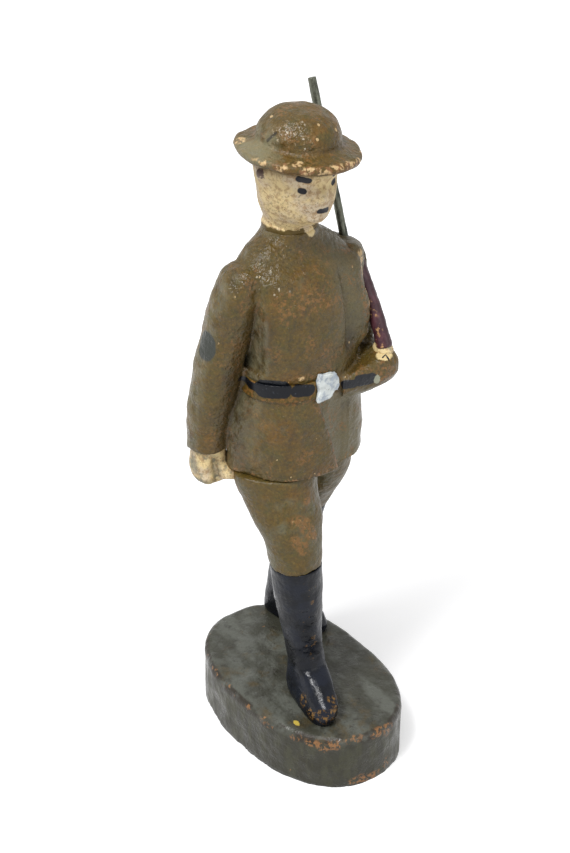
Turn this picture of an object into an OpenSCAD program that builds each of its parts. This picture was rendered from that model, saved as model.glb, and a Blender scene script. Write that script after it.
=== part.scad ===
// Pressed composition toy soldier on an oval base: mouldings over a steel wire armature.
// The figure marches towards -Y, its left hand is at +X, and Z is up from the base's underside.

/* [Base] */
// Length of the oval base, front to back
base_l = 28; // [25:0.5:34]
// Width of the oval base
base_w = 18; // [16:0.5:24]
// Thickness of the base
base_h = 6.9; // [4:0.1:9]
// Rounding of the base's upper edge
base_edge_r = 0.9; // [0.4:0.1:1.6]

/* [Boots and legs] */
// Height of a boot, sole to top
boot_h = 18.3; // [16:0.2:20]
// Length of a foot
foot_l = 9.6; // [8.5:0.1:10.5]
// Width of a foot
foot_w = 4.2; // [3.6:0.1:5]
// Width of a boot at its top
boot_top_w = 5.8; // [5:0.1:6.4]
// Distance of the leading ankle in front of the centre
right_step = 3.5; // [2.6:0.1:4.2]
// Distance of the leading ankle from the middle plane
right_ankle_out = 1.9; // [1.6:0.1:2.6]
// Distance of the trailing ankle behind the centre
left_step = 8.3; // [7:0.1:9.5]
// Forward slope of the trailing shin, ankle to boot top
shin_lean = 2.6; // [1.8:0.1:3.4]
// Outward turn of the toes
toe_angle = 17; // [5:1:22]
// Height of the breeches between boot and hem
breeches_h = 10.9; // [9:0.1:13]
// Distance between the centre lines of the thighs at the hem
hip_w = 6.7; // [6.2:0.1:7.2]
// Thickness of the leading thigh
right_thigh_w = 8.4; // [7.6:0.1:8.8]
// Thickness of the trailing thigh
left_thigh_w = 7.4; // [6.8:0.1:8]

/* [Tunic] */
// Height of the skirt, hem to belt
skirt_h = 9.4; // [8:0.2:13]
// Width of the skirt at the hem
skirt_w = 14.8; // [14:0.1:16]
// Depth of the skirt at the hem
skirt_d = 10.6; // [9.6:0.1:12]
// Overlap step of the skirt's front flap
flap_t = 0.6; // [0.3:0.05:0.9]
// Width of the waist
waist_w = 13.2; // [12.4:0.1:14]
// Depth of the waist
waist_d = 10; // [9:0.1:11.5]
// Height of the belt
belt_h = 2; // [1.4:0.1:2.6]
// Thickness of the belt
belt_t = 0.3; // [0.15:0.05:0.5]
// Width of the buckle
buckle_w = 2.7; // [2:0.1:3.4]
// Height of the buckle
buckle_h = 3; // [2.6:0.1:3.6]
// Thickness of the buckle
buckle_t = 0.55; // [0.4:0.05:0.8]
// Height of the body, belt to neck
body_h = 16.4; // [14:0.2:19]
// Width of the chest
chest_w = 13; // [12.4:0.1:14]
// Depth of the chest
chest_d = 10.4; // [9.5:0.1:12]
// Width across the flat seats of the sleeves
arm_seat_w = 11.6; // [11:0.1:12.2]
// Drop of the left shoulder below the right one
shoulder_drop = 0.6; // [0:0.1:1]
// Sideways sway of the chest towards the leading leg
body_sway = 0.35; // [0:0.05:0.5]
// Height of the collar
collar_h = 0.7; // [0.5:0.1:1.2]
// Wall of the collar
collar_t = 0.45; // [0.3:0.05:0.7]

/* [Arms] */
// Width of a sleeve
sleeve_w = 4.8; // [4.3:0.1:5.2]
// Distance of the upper arm's centre line outside its seat
arm_out = 1.05; // [0.9:0.05:1.3]
// Backward swing of the right arm, shoulder to cuff
arm_swing = 2.6; // [2:0.1:3.4]
// Sideways swing of the right arm, shoulder to cuff
arm_flare = 2.1; // [1.7:0.1:2.6]
// Length of the right sleeve
sleeve_l = 21.5; // [19.5:0.1:23]
// Length of the right hand
hand_l = 4.4; // [3.8:0.1:5.2]
// Width of the right hand
hand_w = 4.1; // [3.4:0.1:4.6]
// Thickness of the raised forearm
forearm_h = 4.4; // [3.6:0.1:5]
// Distance that the raised fist stands in front of the waist
fist_out = 0.9; // [0.6:0.05:1.4]
// Height of the left hand above the forearm
fist_h = 1.6; // [1.2:0.1:2.2]

/* [Head] */
// Width of the neck
neck_w = 4.8; // [4.4:0.1:5.4]
// Width of the head
head_w = 8.4; // [7.8:0.1:8.8]
// Depth of the head
head_d = 8.8; // [8:0.1:9.4]
// Height of the head, neck to helmet
head_h = 8.8; // [8:0.1:10]
// Width of the helmet's brim
brim_w = 12.4; // [11.5:0.1:14]
// Thickness of the brim's edge
brim_t = 0.7; // [0.5:0.05:1]
// Width of the helmet's crown
crown_w = 9; // [8.8:0.1:9.8]
// Height of the crown above the middle of the brim's edge
crown_h = 4.45; // [4:0.05:5.4]
// Depth of the helmet's socket for the head
socket_h = 1.1; // [0.8:0.1:1.5]
// Forward tilt of the helmet
helmet_nod = 3; // [0:0.5:6]
// Sideways tilt of the helmet
helmet_lean = 5; // [0:0.5:7]

/* [Rifle and armature] */
// Diameter of the rifle's stock
stock_d = 1.4; // [1.2:0.05:1.7]
// Distance of the stock's upper end below the shoulder
stock_drop = 1.9; // [1.4:0.1:2.6]
// Diameter of the bare wire barrel
barrel_d = 0.9; // [0.6:0.05:1.1]
// Length of the bare wire barrel
barrel_l = 18.6; // [16:0.2:21]
// Diameter of the armature wire
wire_d = 0.9; // [0.6:0.05:1.1]
// Depth of the leg wires in the base
wire_root = 4.5; // [2.5:0.1:5]

/* [Fits] */
// Radial clearance of a wire in its bore
wire_clearance = 0.04; // [0.02:0.01:0.08]
// Clearance between seated mouldings
seat_clearance = 0.04; // [0.02:0.01:0.08]

/* [Hidden] */
$fn = 48;

// Heights of the figure's levels, stacked from the underside
deck_z = base_h;
boot_top_z = deck_z + boot_h;
hem_z = boot_top_z + breeches_h;
belt_z = hem_z + skirt_h;
belt_top_z = belt_z + belt_h;
neck_z = belt_z + body_h;
collar_top_z = neck_z + collar_h;
brim_z = neck_z + head_h;
forearm_z = belt_top_z + belt_h * 0.4;

// Places that several pieces share
right_seat_x = -body_sway - arm_seat_w / 2;
left_seat_x = -body_sway + arm_seat_w / 2;
right_arm_x = right_seat_x - arm_out;
left_arm_x = left_seat_x + arm_out;
shoulder_z = belt_z + body_h * 0.885;
cuff_z = shoulder_z - sleeve_l;
right_foot = [-right_ankle_out, -right_step];
left_foot = [hip_w / 2, left_step];
right_hip = [-hip_w / 2, 0];
left_hip = [hip_w / 2, skirt_d * 0.16];
right_knee = [-hip_w / 2, -right_step];
left_knee = [hip_w / 2, left_step - shin_lean];
neck_y = waist_d * 0.18;
head_y = neck_y * 0.3;
arm_y = neck_y * 0.85;
socket_d = head_w * 0.92;
wire_bore_d = wire_d + 2 * wire_clearance;

// Outline powers: 2 is an ellipse, more is squarer
round_power = 2;
boot_power = 2.5;
body_power = 2.3;
crown_power = 2.5;

// Angles of one outline, counted from the figure's left side towards its back
ring_steps = 48;
limb_steps = 28;
wire_steps = 10;
crown_steps = 16;
// Where the skirt's front flap begins to stand out, how far round it grows, and its free edge
flap_start_angle = 195;
flap_growth_angle = 45;
flap_edge_angle = 285;
// Where the belt begins behind the elbow, and the middle and half spread of the buckle
belt_start_angle = 60;
buckle_angle = 269;
buckle_spread_angle = asin(pow(buckle_w / waist_w, body_power / 2));
// Where the raised forearm begins beside the buckle, and how far round the waist it goes
forearm_start_angle = 285;
forearm_sweep_angle = 120;
// Share of the leading foot's outward turn that the trailing foot has
left_toe_share = 0.4;

// Outline tables of hand-chosen shares. Limb columns: height, then the shares that each row function names.
base_edge_shares = [[0, 0], [0.38, 0.08], [0.71, 0.29], [0.92, 0.62], [1, 1]];
// Height, rise towards the knee, half width, toe, heel
foot_shares = [[0, 0, 0.47, 0.74, 0.22], [0.04, 0, 0.5, 0.77, 0.23], [0.1, 0, 0.49, 0.75, 0.23],
               [0.15, 0, 0.47, 0.64, 0.22], [0.205, 0, 0.46, 0.42, 0.21], [0.265, 0.04, 0.46, 0.25, 0.205]];
// Height, rise towards the knee, half width, front, back
shaft_shares = [[0.48, 0.38, 0.38, 0.39, 0.41], [0.74, 0.7, 0.46, 0.46, 0.49], [1, 1, 0.5, 0.5, 0.5]];
// Height, rise towards the hip, half thickness
right_thigh_shares = [[0.3, 0.2, 0.39], [0.47, 0.46, 0.455], [0.7, 0.8, 0.5], [1, 1, 0.5]];
left_thigh_shares = [[0.3, 0.38, 0.43], [0.6, 0.76, 0.47], [1, 1, 0.5]];
// Height, sideways, swing, half width, half depth
sleeve_shares = [[0, 1, 1, 0.5, 0.48], [0.24, 1, 0.86, 0.54, 0.52], [0.5, 1, 0.58, 0.52, 0.53],
                 [0.76, 1, 0.2, 0.47, 0.54], [0.87, 0.9, 0.03, 0.41, 0.54], [0.94, 0.62, 0, 0.31, 0.48],
                 [0.975, 0.2, 0, 0.14, 0.34]];
// Height, sideways, swing, half width, front, back
upper_sleeve_shares = [[0, 1, 0.2, 0.48, 0.86, 0.52], [0.4, 1, 0.12, 0.47, 0.72, 0.52],
                       [0.74, 1, 0.02, 0.44, 0.58, 0.54], [0.88, 0.92, 0, 0.4, 0.54, 0.55],
                       [0.95, 0.7, 0, 0.33, 0.52, 0.54], [1, 0.25, 0, 0.18, 0.46, 0.5]];
// Height, backwards, half width, front, back
hand_shares = [[0, 0.04, 0.2, 0.3, 0.18], [0.1, 0.06, 0.4, 0.5, 0.36], [0.4, 0.08, 0.5, 0.52, 0.46],
               [0.75, 0.04, 0.47, 0.48, 0.46], [1, 0, 0.46, 0.46, 0.46]];
// Plan of the raised forearm, from the buckle round the fist to the elbow: step, sideways, forwards, height
forearm_plan_shares = [[0, 0.2, 0.87, 0.66], [0.1, 0.42, 0.93, 0.74], [0.22, 0.72, 1, 0.86],
                       [0.34, 1.02, 1.06, 0.95], [0.44, 1.24, 1, 1], [0.52, 1.34, 0.82, 1],
                       [0.62, 1.37, 0.45, 1], [0.72, 1.38, 0.02, 1], [0.82, 1.37, -0.45, 1],
                       [0.9, 1.28, -0.8, 1], [1, 1.02, -0.94, 1]];
forearm_rise_shares = [[0, 0.16], [0.1, 0.55], [0.28, 0.86], [0.52, 1], [0.78, 0.98], [0.93, 0.88], [1, 0.72]];
fist_shares = [[0, 1], [0.35, 1.05], [0.7, 0.86], [0.92, 0.55], [1, 0.28]];
// Height, rise towards the head's axis, half width, front, back
face_shares = [[0, 0, 0.28, 0.265, 0.265], [0.15, 0, 0.28, 0.265, 0.27], [0.24, 0.5, 0.34, 0.38, 0.38],
               [0.42, 0.85, 0.42, 0.47, 0.47], [0.58, 0.95, 0.455, 0.485, 0.5], [0.74, 1, 0.49, 0.47, 0.5],
               [0.86, 1, 0.51, 0.485, 0.5], [0.93, 1, 0.455, 0.41, 0.41]];
// Relief on a lofted form: angle, height, relief, angle spread, height spread
face_relief_shares = [[270, 0.6, 0.075, 9, 0.085], [270, 0.29, 0.085, 26, 0.08], [270, 0.86, 0.02, 40, 0.05],
                      [242, 0.72, -0.028, 12, 0.06], [298, 0.72, -0.028, 12, 0.06],
                      [184, 0.79, 0.075, 9, 0.1], [356, 0.79, 0.075, 9, 0.1]];
hand_relief_shares = [[300, 0.2, 0.34, 20, 0.2], [250, 0.42, -0.05, 14, 0.12], [225, 0.2, 0.08, 18, 0.14]];

// Rows of the lofted forms: height, centre x, centre y, half width, front, back, power
tunic_rows = [
    [hem_z, 0, skirt_d * 0.12, skirt_w * 0.5, skirt_d * 0.55, skirt_d * 0.52, body_power],
    [hem_z + skirt_h * 0.4, 0, skirt_d * 0.09, skirt_w * 0.5, skirt_d * 0.52, skirt_d * 0.49, body_power],
    [belt_z, -body_sway * 0.4, waist_d * 0.05, waist_w / 2, waist_d * 0.5, waist_d * 0.49, body_power],
    [belt_top_z, -body_sway * 0.6, waist_d * 0.05, waist_w / 2, waist_d * 0.5, waist_d * 0.49, body_power],
    [belt_z + body_h * 0.46, -body_sway, chest_d * 0.08,
     chest_w / 2, chest_d * 0.53, chest_d * 0.47, body_power],
    [belt_z + body_h * 0.76, -body_sway, chest_d * 0.13,
     chest_w / 2, chest_d * 0.44, chest_d * 0.41, body_power],
    [shoulder_z, -body_sway, chest_d * 0.16, arm_seat_w / 2, chest_d * 0.28, chest_d * 0.3, body_power],
    [neck_z, -body_sway, neck_y, neck_w * 0.62, neck_w * 0.6, neck_w * 0.6, round_power]];

function boot_rows(foot, knee) = concat(
    [for (s = foot_shares) let (at = foot + (knee - foot) * s[1])
        [deck_z + boot_h * s[0], at[0], at[1], foot_w * s[2], foot_l * s[3], foot_l * s[4], boot_power]],
    [for (s = shaft_shares) let (at = foot + (knee - foot) * s[1])
        [deck_z + boot_h * s[0], at[0], at[1], boot_top_w * s[2], boot_top_w * s[3], boot_top_w * s[4],
         round_power]]);

function thigh_rows(knee, hip, thick, shares) = concat(
    [[boot_top_z, knee[0], knee[1], boot_top_w / 2, boot_top_w / 2, boot_top_w / 2, round_power]],
    [for (s = shares) let (at = knee + (hip - knee) * s[1])
        [boot_top_z + breeches_h * s[0], at[0], at[1],
         thick * s[2], thick * s[2], thick * s[2], round_power]]);

right_sleeve_rows = [for (s = sleeve_shares)
    [cuff_z + sleeve_l * s[0], right_seat_x - arm_out * s[1] - arm_flare * s[2], arm_y + arm_swing * s[2],
     sleeve_w * s[3], sleeve_w * s[4], sleeve_w * s[4], round_power]];
left_sleeve_rows = [for (s = upper_sleeve_shares)
    [forearm_z + (shoulder_z - shoulder_drop - forearm_z) * s[0],
     left_seat_x + arm_out * s[1] + arm_flare * s[2], arm_y + arm_swing * s[2],
     sleeve_w * s[3], sleeve_w * s[4], sleeve_w * s[5], round_power]];
right_hand_rows = [for (s = hand_shares)
    [cuff_z - hand_l + hand_l * s[0], right_arm_x - arm_flare, arm_y + arm_swing + hand_w * s[1],
     hand_w * s[2], hand_w * s[3], hand_w * s[4], round_power]];
head_rows = concat(
    [for (s = face_shares)
        [neck_z + head_h * s[0], -body_sway, neck_y + (head_y - neck_y) * s[1],
         head_w * s[2], head_d * s[3], head_d * s[4], round_power]],
    [for (z = [brim_z, brim_z + socket_h])
        [z, -body_sway, head_y, socket_d / 2, socket_d / 2, socket_d / 2, round_power]]);

// Rifle: the stock leans back from the fist to the shoulder, and the barrel goes on behind it
stock_foot = [left_arm_x + stock_d * 0.68, -waist_d * 0.44, forearm_z + stock_d * 0.24];
stock_top = [left_arm_x + stock_d * 0.5, arm_y * 0.13, shoulder_z - stock_drop];
stock_run = stock_top - stock_foot;
barrel_foot = [left_seat_x + barrel_d * 1.8, arm_y * 1.15, shoulder_z - barrel_d * 3.2];
barrel_turn = [-17, -2.6, 0];

// Routes of the armature wires
chest_wire_y = neck_y * 0.5;
chest_wire_z = belt_z + body_h * 0.3;
shoulder_wire_z = belt_z + body_h * 0.6;
chest_wire_x = wire_d * 1.3;
function leg_route(foot, knee, hip, side) = [
    [foot[0], foot[1], deck_z - wire_root], [foot[0], foot[1], deck_z + boot_h * 0.3],
    [knee[0], knee[1], boot_top_z], [hip[0], hip[1], hem_z],
    [side * chest_wire_x, chest_wire_y, belt_z], [side * chest_wire_x, chest_wire_y, chest_wire_z]];
right_leg_route = leg_route(right_foot, right_knee, right_hip, -1);
left_leg_route = leg_route(left_foot, left_knee, left_hip, 1);
spine_route = [[0, chest_wire_y, belt_z], [0, chest_wire_y, shoulder_wire_z], [-body_sway, neck_y, neck_z],
               [-body_sway, head_y, brim_z - socket_h]];
right_arm_route = [[-chest_wire_x, chest_wire_y, shoulder_wire_z], [right_arm_x, arm_y, shoulder_wire_z],
                   [right_arm_x - arm_flare, arm_y + arm_swing, cuff_z],
                   [right_arm_x - arm_flare, arm_y + arm_swing, cuff_z - hand_l * 0.55]];
left_arm_route = [[chest_wire_x, chest_wire_y, shoulder_wire_z], [left_arm_x, arm_y, shoulder_wire_z],
                  [left_arm_x + arm_flare * 0.4, arm_y + arm_swing * 0.3, forearm_z - forearm_h / 2],
                  [left_arm_x + arm_flare * 0.4, -waist_d * 0.34, forearm_z - forearm_h / 2]];

// Smooth row of a table at one height
function segment(rows, z, i = 0) = i >= len(rows) - 2 || z <= rows[i + 1][0] ? i : segment(rows, z, i + 1);
function slope(rows, i) =
    let (a = max(i - 1, 0), b = min(i + 1, len(rows) - 1)) (rows[b] - rows[a]) / (rows[b][0] - rows[a][0]);
function level(rows, z) =
    let (i = segment(rows, z), h = rows[i + 1][0] - rows[i][0], u = (z - rows[i][0]) / h)
    rows[i] * (2 * u * u * u - 3 * u * u + 1) + slope(rows, i) * h * (u * u * u - 2 * u * u + u)
    + rows[i + 1] * (3 * u * u - 2 * u * u * u) + slope(rows, i + 1) * h * (u * u * u - u * u);

// Point of a row's outline at one angle, and its half width at one depth
function outline_point(row, t) =
    let (c = cos(t), s = sin(t), e = 2 / row[6])
    [row[1] + row[3] * sign(c) * pow(abs(c), e),
     row[2] + (s < 0 ? row[4] : row[5]) * sign(s) * pow(abs(s), e), row[0]];
function half_width(row, y) =
    let (u = min(1, abs(y - row[2]) / (y < row[2] ? row[4] : row[5])))
    row[3] * pow(1 - pow(u, row[6]), 1 / row[6]);
function ring(row, steps) = [for (i = [0:steps - 1]) outline_point(row, 360 * i / steps)];

// Values from one to another, even or closer together at both ends
function even(z0, z1, n) = [for (i = [0:n]) z0 + (z1 - z0) * i / n];
function eased(z0, z1, n) = [for (i = [0:n]) z0 + (z1 - z0) * (1 - cos(180 * i / n)) / 2];
function eased_rings(rows, n, steps) =
    [for (z = eased(rows[0][0], rows[len(rows) - 1][0], n)) ring(level(rows, z), steps)];

// Tunic outline with the flat sleeve seats and the skirt's overlapping flap
function flap(t, z) =
    let (low = max(0, min(1, (belt_z - z) / (skirt_h * 0.35))),
         side = max(0, min(1, (t - flap_start_angle) / flap_growth_angle)))
    t <= flap_edge_angle ? flap_t * low * side : 0;
function tunic_point(z, t) =
    let (p = outline_point(level(tunic_rows, z), t), f = flap(t, z),
         x = z > forearm_z ? max(right_seat_x, min(left_seat_x, p[0])) : p[0])
    [x + f * cos(t), p[1] + f * sin(t), z];
tunic_levels = concat(even(hem_z, belt_z, 8), [belt_z + belt_h / 2, belt_top_z, forearm_z],
                      even(forearm_z + seat_clearance, neck_z, 11));
function tunic_arc(z, t0, t1) = [for (t = [t0:360 / ring_steps:t1]) tunic_point(z, t)];
function proud_arc(z, angles, out) = [for (t = angles) tunic_point(z, t) + out * [cos(t), sin(t), 0]];

// Middle of a ring, for the centre of its cap
function middle(points) = [for (k = [0:2]) [for (p = points) p[k]] * [for (p = points) 1 / len(points)]];

// Relief of a lofted form at one angle and height
function relief(shares, t, h) =
    [for (b = shares) b[2] * exp(-pow((t - b[0]) / b[3], 2) - pow((h - b[1]) / b[4], 2))]
    * [for (b = shares) 1];

// Solid skinned over a stack of rings, with flat fan caps
module skin(rings) {
    n = len(rings[0]);
    m = len(rings);
    points = concat([for (r = rings) each r], [middle(rings[0]), middle(rings[m - 1])]);
    sides = [for (i = [0:m - 2], j = [0:n - 1])
        let (a = i * n + j, b = i * n + (j + 1) % n) each [[a, a + n, b + n], [a, b + n, b]]];
    bottom = [for (j = [0:n - 1]) [j, (j + 1) % n, m * n]];
    top = [for (j = [0:n - 1]) [(m - 1) * n + (j + 1) % n, (m - 1) * n + j, m * n + 1]];
    polyhedron(points, concat(sides, bottom, top));
}

// Solid between an inner and an outer strip of points, one pair of strips for each level
module pad(inner, outer) {
    n = len(inner[0]);
    m = len(inner);
    w = 2 * n;
    points = [for (i = [0:m - 1]) each concat(outer[i], [for (j = [n - 1:-1:0]) inner[i][j]])];
    sides = [for (i = [0:m - 2], j = [0:w - 1])
        let (a = i * w + j, b = i * w + (j + 1) % w) each [[a, a + w, b + w], [a, b + w, b]]];
    bottom = [for (j = [0:n - 2]) each [[j, j + 1, w - 2 - j], [j, w - 2 - j, w - 1 - j]]];
    high = (m - 1) * w;
    top = [for (j = [0:n - 2]) let (far = high + w - 1 - j)
        each [[high + j + 1, high + j, far], [high + j + 1, far, far - 1]]];
    polyhedron(points, concat(sides, bottom, top));
}

// Band standing proud of the tunic between two angles
module tunic_band(z0, z1, t0, t1, thick) {
    levels = even(z0, z1, 2);
    angles = even(t0, t1, ceil((t1 - t0) * ring_steps / 360));
    pad([for (z = levels) proud_arc(z, angles, seat_clearance)],
        [for (z = levels) proud_arc(z, angles, thick)]);
}

// Direction of one stretch of a route, and of the mitre plane at one of its points
function unit(v) = v / norm(v);
function stretch(route, i) = unit(route[i + 1] - route[i]);
function mitre(route, i) =
    i == 0 ? stretch(route, 0)
    : i == len(route) - 1 ? stretch(route, i - 1)
    : unit(stretch(route, i - 1) + stretch(route, i));

// Offset from the route's first point, slid along the stretches to the mitre plane at point i
function slid(v, along, plane) = v - along * (v * plane) / (along * plane);
function carried(route, v, i) =
    i == 0 ? v
    : let (along = stretch(route, i - 1), was = carried(route, v, i - 1))
      slid(was - along * (was * along), along, mitre(route, i));
function wire_side(route) = unit(cross(stretch(route, 0), [0, 1, 0]));
function wire_ring(route, i, d) =
    let (a = wire_side(route), b = cross(stretch(route, 0), a))
    [for (k = [0:wire_steps - 1])
        route[i] + carried(route, (a * cos(360 * k / wire_steps) + b * sin(360 * k / wire_steps)) * d / 2, i)];

// Bent wire along a route
module wire(route, d) {
    skin([for (i = [0:len(route) - 1]) wire_ring(route, i, d)]);
}

module leg_bores() {
    wire(right_leg_route, wire_bore_d);
    wire(left_leg_route, wire_bore_d);
}

module arm_bores() {
    wire(right_arm_route, wire_bore_d);
    wire(left_arm_route, wire_bore_d);
}

module stock_rod(d) {
    translate(stock_foot)
        rotate([0, acos(stock_run[2] / norm(stock_run)), atan2(stock_run[1], stock_run[0])])
            cylinder(h = norm(stock_run), d = d);
}

module barrel_rod(d) {
    translate(barrel_foot)
        rotate(barrel_turn)
            cylinder(h = barrel_l, d = d);
}

function base_row(z, inset) =
    [z, 0, 0, base_w / 2 - inset, base_l / 2 - inset, base_l / 2 - inset, body_power];

module base() {
    color("DarkOliveGreen")
        difference() {
            union() {
                linear_extrude(base_h - base_edge_r)
                    polygon([for (p = ring(base_row(0, 0), ring_steps)) [p[0], p[1]]]);
                skin([for (s = base_edge_shares)
                    ring(base_row(base_h - base_edge_r + base_edge_r * s[0], base_edge_r * s[1]),
                         ring_steps)]);
            }
            leg_bores();
        }
}

// Ring point turned about the ankle with the foot, less and less up the shaft
function toed(p, foot, turn) =
    let (a = turn * max(0, 1 - (p[2] - deck_z) / (boot_h * 0.4)), q = [p[0], p[1]] - foot)
    [foot[0] + q[0] * cos(a) - q[1] * sin(a), foot[1] + q[0] * sin(a) + q[1] * cos(a), p[2]];

module boot(foot, knee, side, route) {
    color("DarkSlateGray")
        difference() {
            skin([for (r = eased_rings(boot_rows(foot, knee), 18, limb_steps))
                [for (p = r) toed(p, foot, side * toe_angle)]]);
            wire(route, wire_bore_d);
        }
}

module right_boot() {
    boot(right_foot, right_knee, -1, right_leg_route);
}

module left_boot() {
    boot(left_foot, left_knee, left_toe_share, left_leg_route);
}

// One leg of the breeches, flat where the two legs meet
module breeches(rows, side, route) {
    color("Olive")
        difference() {
            skin([for (z = even(boot_top_z, hem_z, 12))
                [for (p = ring(level(rows, z), limb_steps))
                    [side * max(seat_clearance / 2, side * p[0]), p[1], p[2]]]]);
            wire(route, wire_bore_d);
        }
}

module right_breeches() {
    breeches(thigh_rows(right_knee, right_hip, right_thigh_w, right_thigh_shares), -1, right_leg_route);
}

module left_breeches() {
    breeches(thigh_rows(left_knee, left_hip, left_thigh_w, left_thigh_shares), 1, left_leg_route);
}

// One mould half of the tunic, from its hem to the neck
module tunic_half(t0, t1) {
    color("DarkGoldenrod")
        difference() {
            skin([for (z = tunic_levels) tunic_arc(z, t0, t1)]);
            leg_bores();
            arm_bores();
            wire(spine_route, wire_bore_d);
        }
}

module tunic_front() {
    tunic_half(180, 360);
}

module tunic_back() {
    tunic_half(0, 180);
}

module collar() {
    color("SaddleBrown")
        translate([-body_sway, neck_y, neck_z])
            difference() {
                cylinder(h = collar_h, d1 = neck_w * 1.08 + 2 * collar_t, d2 = neck_w + 2 * collar_t);
                translate([0, 0, -collar_h / 2])
                    cylinder(h = 2 * collar_h, d = neck_w * 1.02 + 2 * seat_clearance);
            }
}

module belt() {
    color("Black")
        tunic_band(belt_z, belt_top_z, belt_start_angle, buckle_angle - buckle_spread_angle, belt_t);
}

module buckle() {
    color("Silver")
        tunic_band(belt_top_z + belt_h * 0.3 - buckle_h, belt_top_z + belt_h * 0.3,
                   buckle_angle - buckle_spread_angle, buckle_angle + buckle_spread_angle, buckle_t);
}

// Rings limited to their own side of a sleeve's seat on the tunic
function right_of_seat(points) = [for (p = points)
    let (row = level(tunic_rows, p[2]),
         x = p[2] > forearm_z + belt_h / 2 ? right_seat_x : row[1] - half_width(row, p[1]) - 1.5 * belt_t)
    [min(x - seat_clearance, p[0]), p[1], p[2]]];
function left_of_seat(points) = [for (p = points) [max(left_seat_x + seat_clearance, p[0]), p[1], p[2]]];

module right_sleeve() {
    color("Peru")
        difference() {
            skin([for (r = eased_rings(right_sleeve_rows, 16, limb_steps)) right_of_seat(r)]);
            wire(right_arm_route, wire_bore_d);
        }
}

module left_sleeve() {
    color("Peru")
        difference() {
            skin([for (r = eased_rings(left_sleeve_rows, 12, limb_steps)) left_of_seat(r)]);
            wire(left_arm_route, wire_bore_d);
            stock_rod(stock_d + 2 * seat_clearance);
            barrel_rod(barrel_d + 2 * wire_clearance);
        }
}

// Raised forearm, pressed against the waist from the buckle round to the elbow
module left_forearm() {
    steps = 22;
    angles = even(forearm_start_angle, forearm_start_angle + forearm_sweep_angle, steps);
    plan = [for (i = [0:steps]) level(forearm_plan_shares, i / steps)];
    inner = [for (s = forearm_rise_shares) [for (i = [0:steps]) let (t = angles[i])
        tunic_point(forearm_z - forearm_h + forearm_h * s[0] * min(1, plan[i][3]), t)
        + 2.5 * seat_clearance * [cos(t), sin(t), 0]]];
    outer = [for (k = [0:len(inner) - 1]) [for (i = [0:steps])
        let (near = inner[k][i],
             full = [plan[i][1] * waist_w / 2, -plan[i][2] * (waist_d / 2 + fist_out), near[2]])
        near + (full - near) * forearm_rise_shares[k][1]]];
    color("Peru")
        difference() {
            pad(inner, outer);
            wire(left_arm_route, wire_bore_d);
        }
}

module left_hand() {
    color("BurlyWood")
        difference() {
            skin([for (s = fist_shares)
                ring([forearm_z + fist_h * s[0], stock_foot[0] - stock_d * 0.15,
                      stock_foot[1] + stock_d * 0.2, stock_d * 0.9 * s[1], stock_d * 0.8 * s[1],
                      stock_d * 0.95 * s[1], round_power], limb_steps)]);
            stock_rod(stock_d + 2 * seat_clearance);
        }
}

module right_hand() {
    color("BurlyWood")
        difference() {
            skin([for (z = eased(cuff_z - hand_l, cuff_z, 12))
                let (row = level(right_hand_rows, z), h = (z - cuff_z + hand_l) / hand_l)
                [for (i = [0:limb_steps - 1])
                    let (t = 360 * i / limb_steps, d = hand_w * relief(hand_relief_shares, t, h))
                    outline_point(row, t) + d * [cos(t), sin(t), 0]]]);
            wire(right_arm_route, wire_bore_d);
        }
}

// Head rings, tilted more and more towards the helmet
function tilted(p, share) =
    let (a = helmet_nod * share, b = helmet_lean * share, pivot = [-body_sway, head_y, brim_z], q = p - pivot,
         r = [q[0], q[1] * cos(a) - q[2] * sin(a), q[1] * sin(a) + q[2] * cos(a)])
    pivot + [r[0] * cos(b) + r[2] * sin(b), r[1], r[2] * cos(b) - r[0] * sin(b)];

module head() {
    color("Wheat")
        difference() {
            skin([for (z = even(neck_z, brim_z + socket_h, 22))
                let (row = level(head_rows, z), h = (z - neck_z) / head_h,
                     share = min(1, max(0, (h - 0.45) / 0.45)))
                [for (i = [0:ring_steps - 1])
                    let (t = 360 * i / ring_steps, p = outline_point(row, t),
                         d = head_d * relief(face_relief_shares, t, h))
                    tilted([p[0] + d * cos(t), p[1] + d * sin(t), z], share)]]);
            wire(spine_route, wire_bore_d);
        }
}

// Half of the helmet's section: a full dome, and a brim with a rounded edge
module helmet_section() {
    brim_r = brim_w / 2;
    crown_r = crown_w / 2;
    dome = [for (i = [0:crown_steps]) let (t = 90 * i / crown_steps)
        [crown_r * pow(cos(t), 2 / crown_power), crown_h * pow(sin(t), 2 / crown_power)]];
    polygon(concat([[0, -brim_t / 2], [crown_r, -brim_t / 2]], dome));
    polygon([[0, -brim_t / 2], [brim_r - brim_t / 2, -brim_t / 2], [brim_r - brim_t / 2, brim_t / 2],
             [crown_r * 0.96, brim_t * 1.7], [0, brim_t * 1.7]]);
    translate([brim_r - brim_t / 2, 0])
        circle(brim_t / 2);
}

module helmet() {
    color("OliveDrab")
        translate([-body_sway, head_y, brim_z])
            rotate([helmet_nod, 0, 0])
                rotate([0, helmet_lean, 0])
                    difference() {
                        rotate_extrude()
                            helmet_section();
                        translate([0, 0, -brim_t])
                            cylinder(h = brim_t + socket_h + seat_clearance,
                                     d = socket_d + 2 * seat_clearance);
                    }
}

module rifle_stock() {
    color("Maroon")
        stock_rod(stock_d);
}

module rifle_barrel() {
    color("SlateGray")
        barrel_rod(barrel_d);
}

module right_leg_wire() {
    color("LightSteelBlue")
        wire(right_leg_route, wire_d);
}

module left_leg_wire() {
    color("LightSteelBlue")
        wire(left_leg_route, wire_d);
}

module spine_wire() {
    color("LightSteelBlue")
        wire(spine_route, wire_d);
}

module right_arm_wire() {
    color("LightSteelBlue")
        wire(right_arm_route, wire_d);
}

module left_arm_wire() {
    color("LightSteelBlue")
        wire(left_arm_route, wire_d);
}

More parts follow.
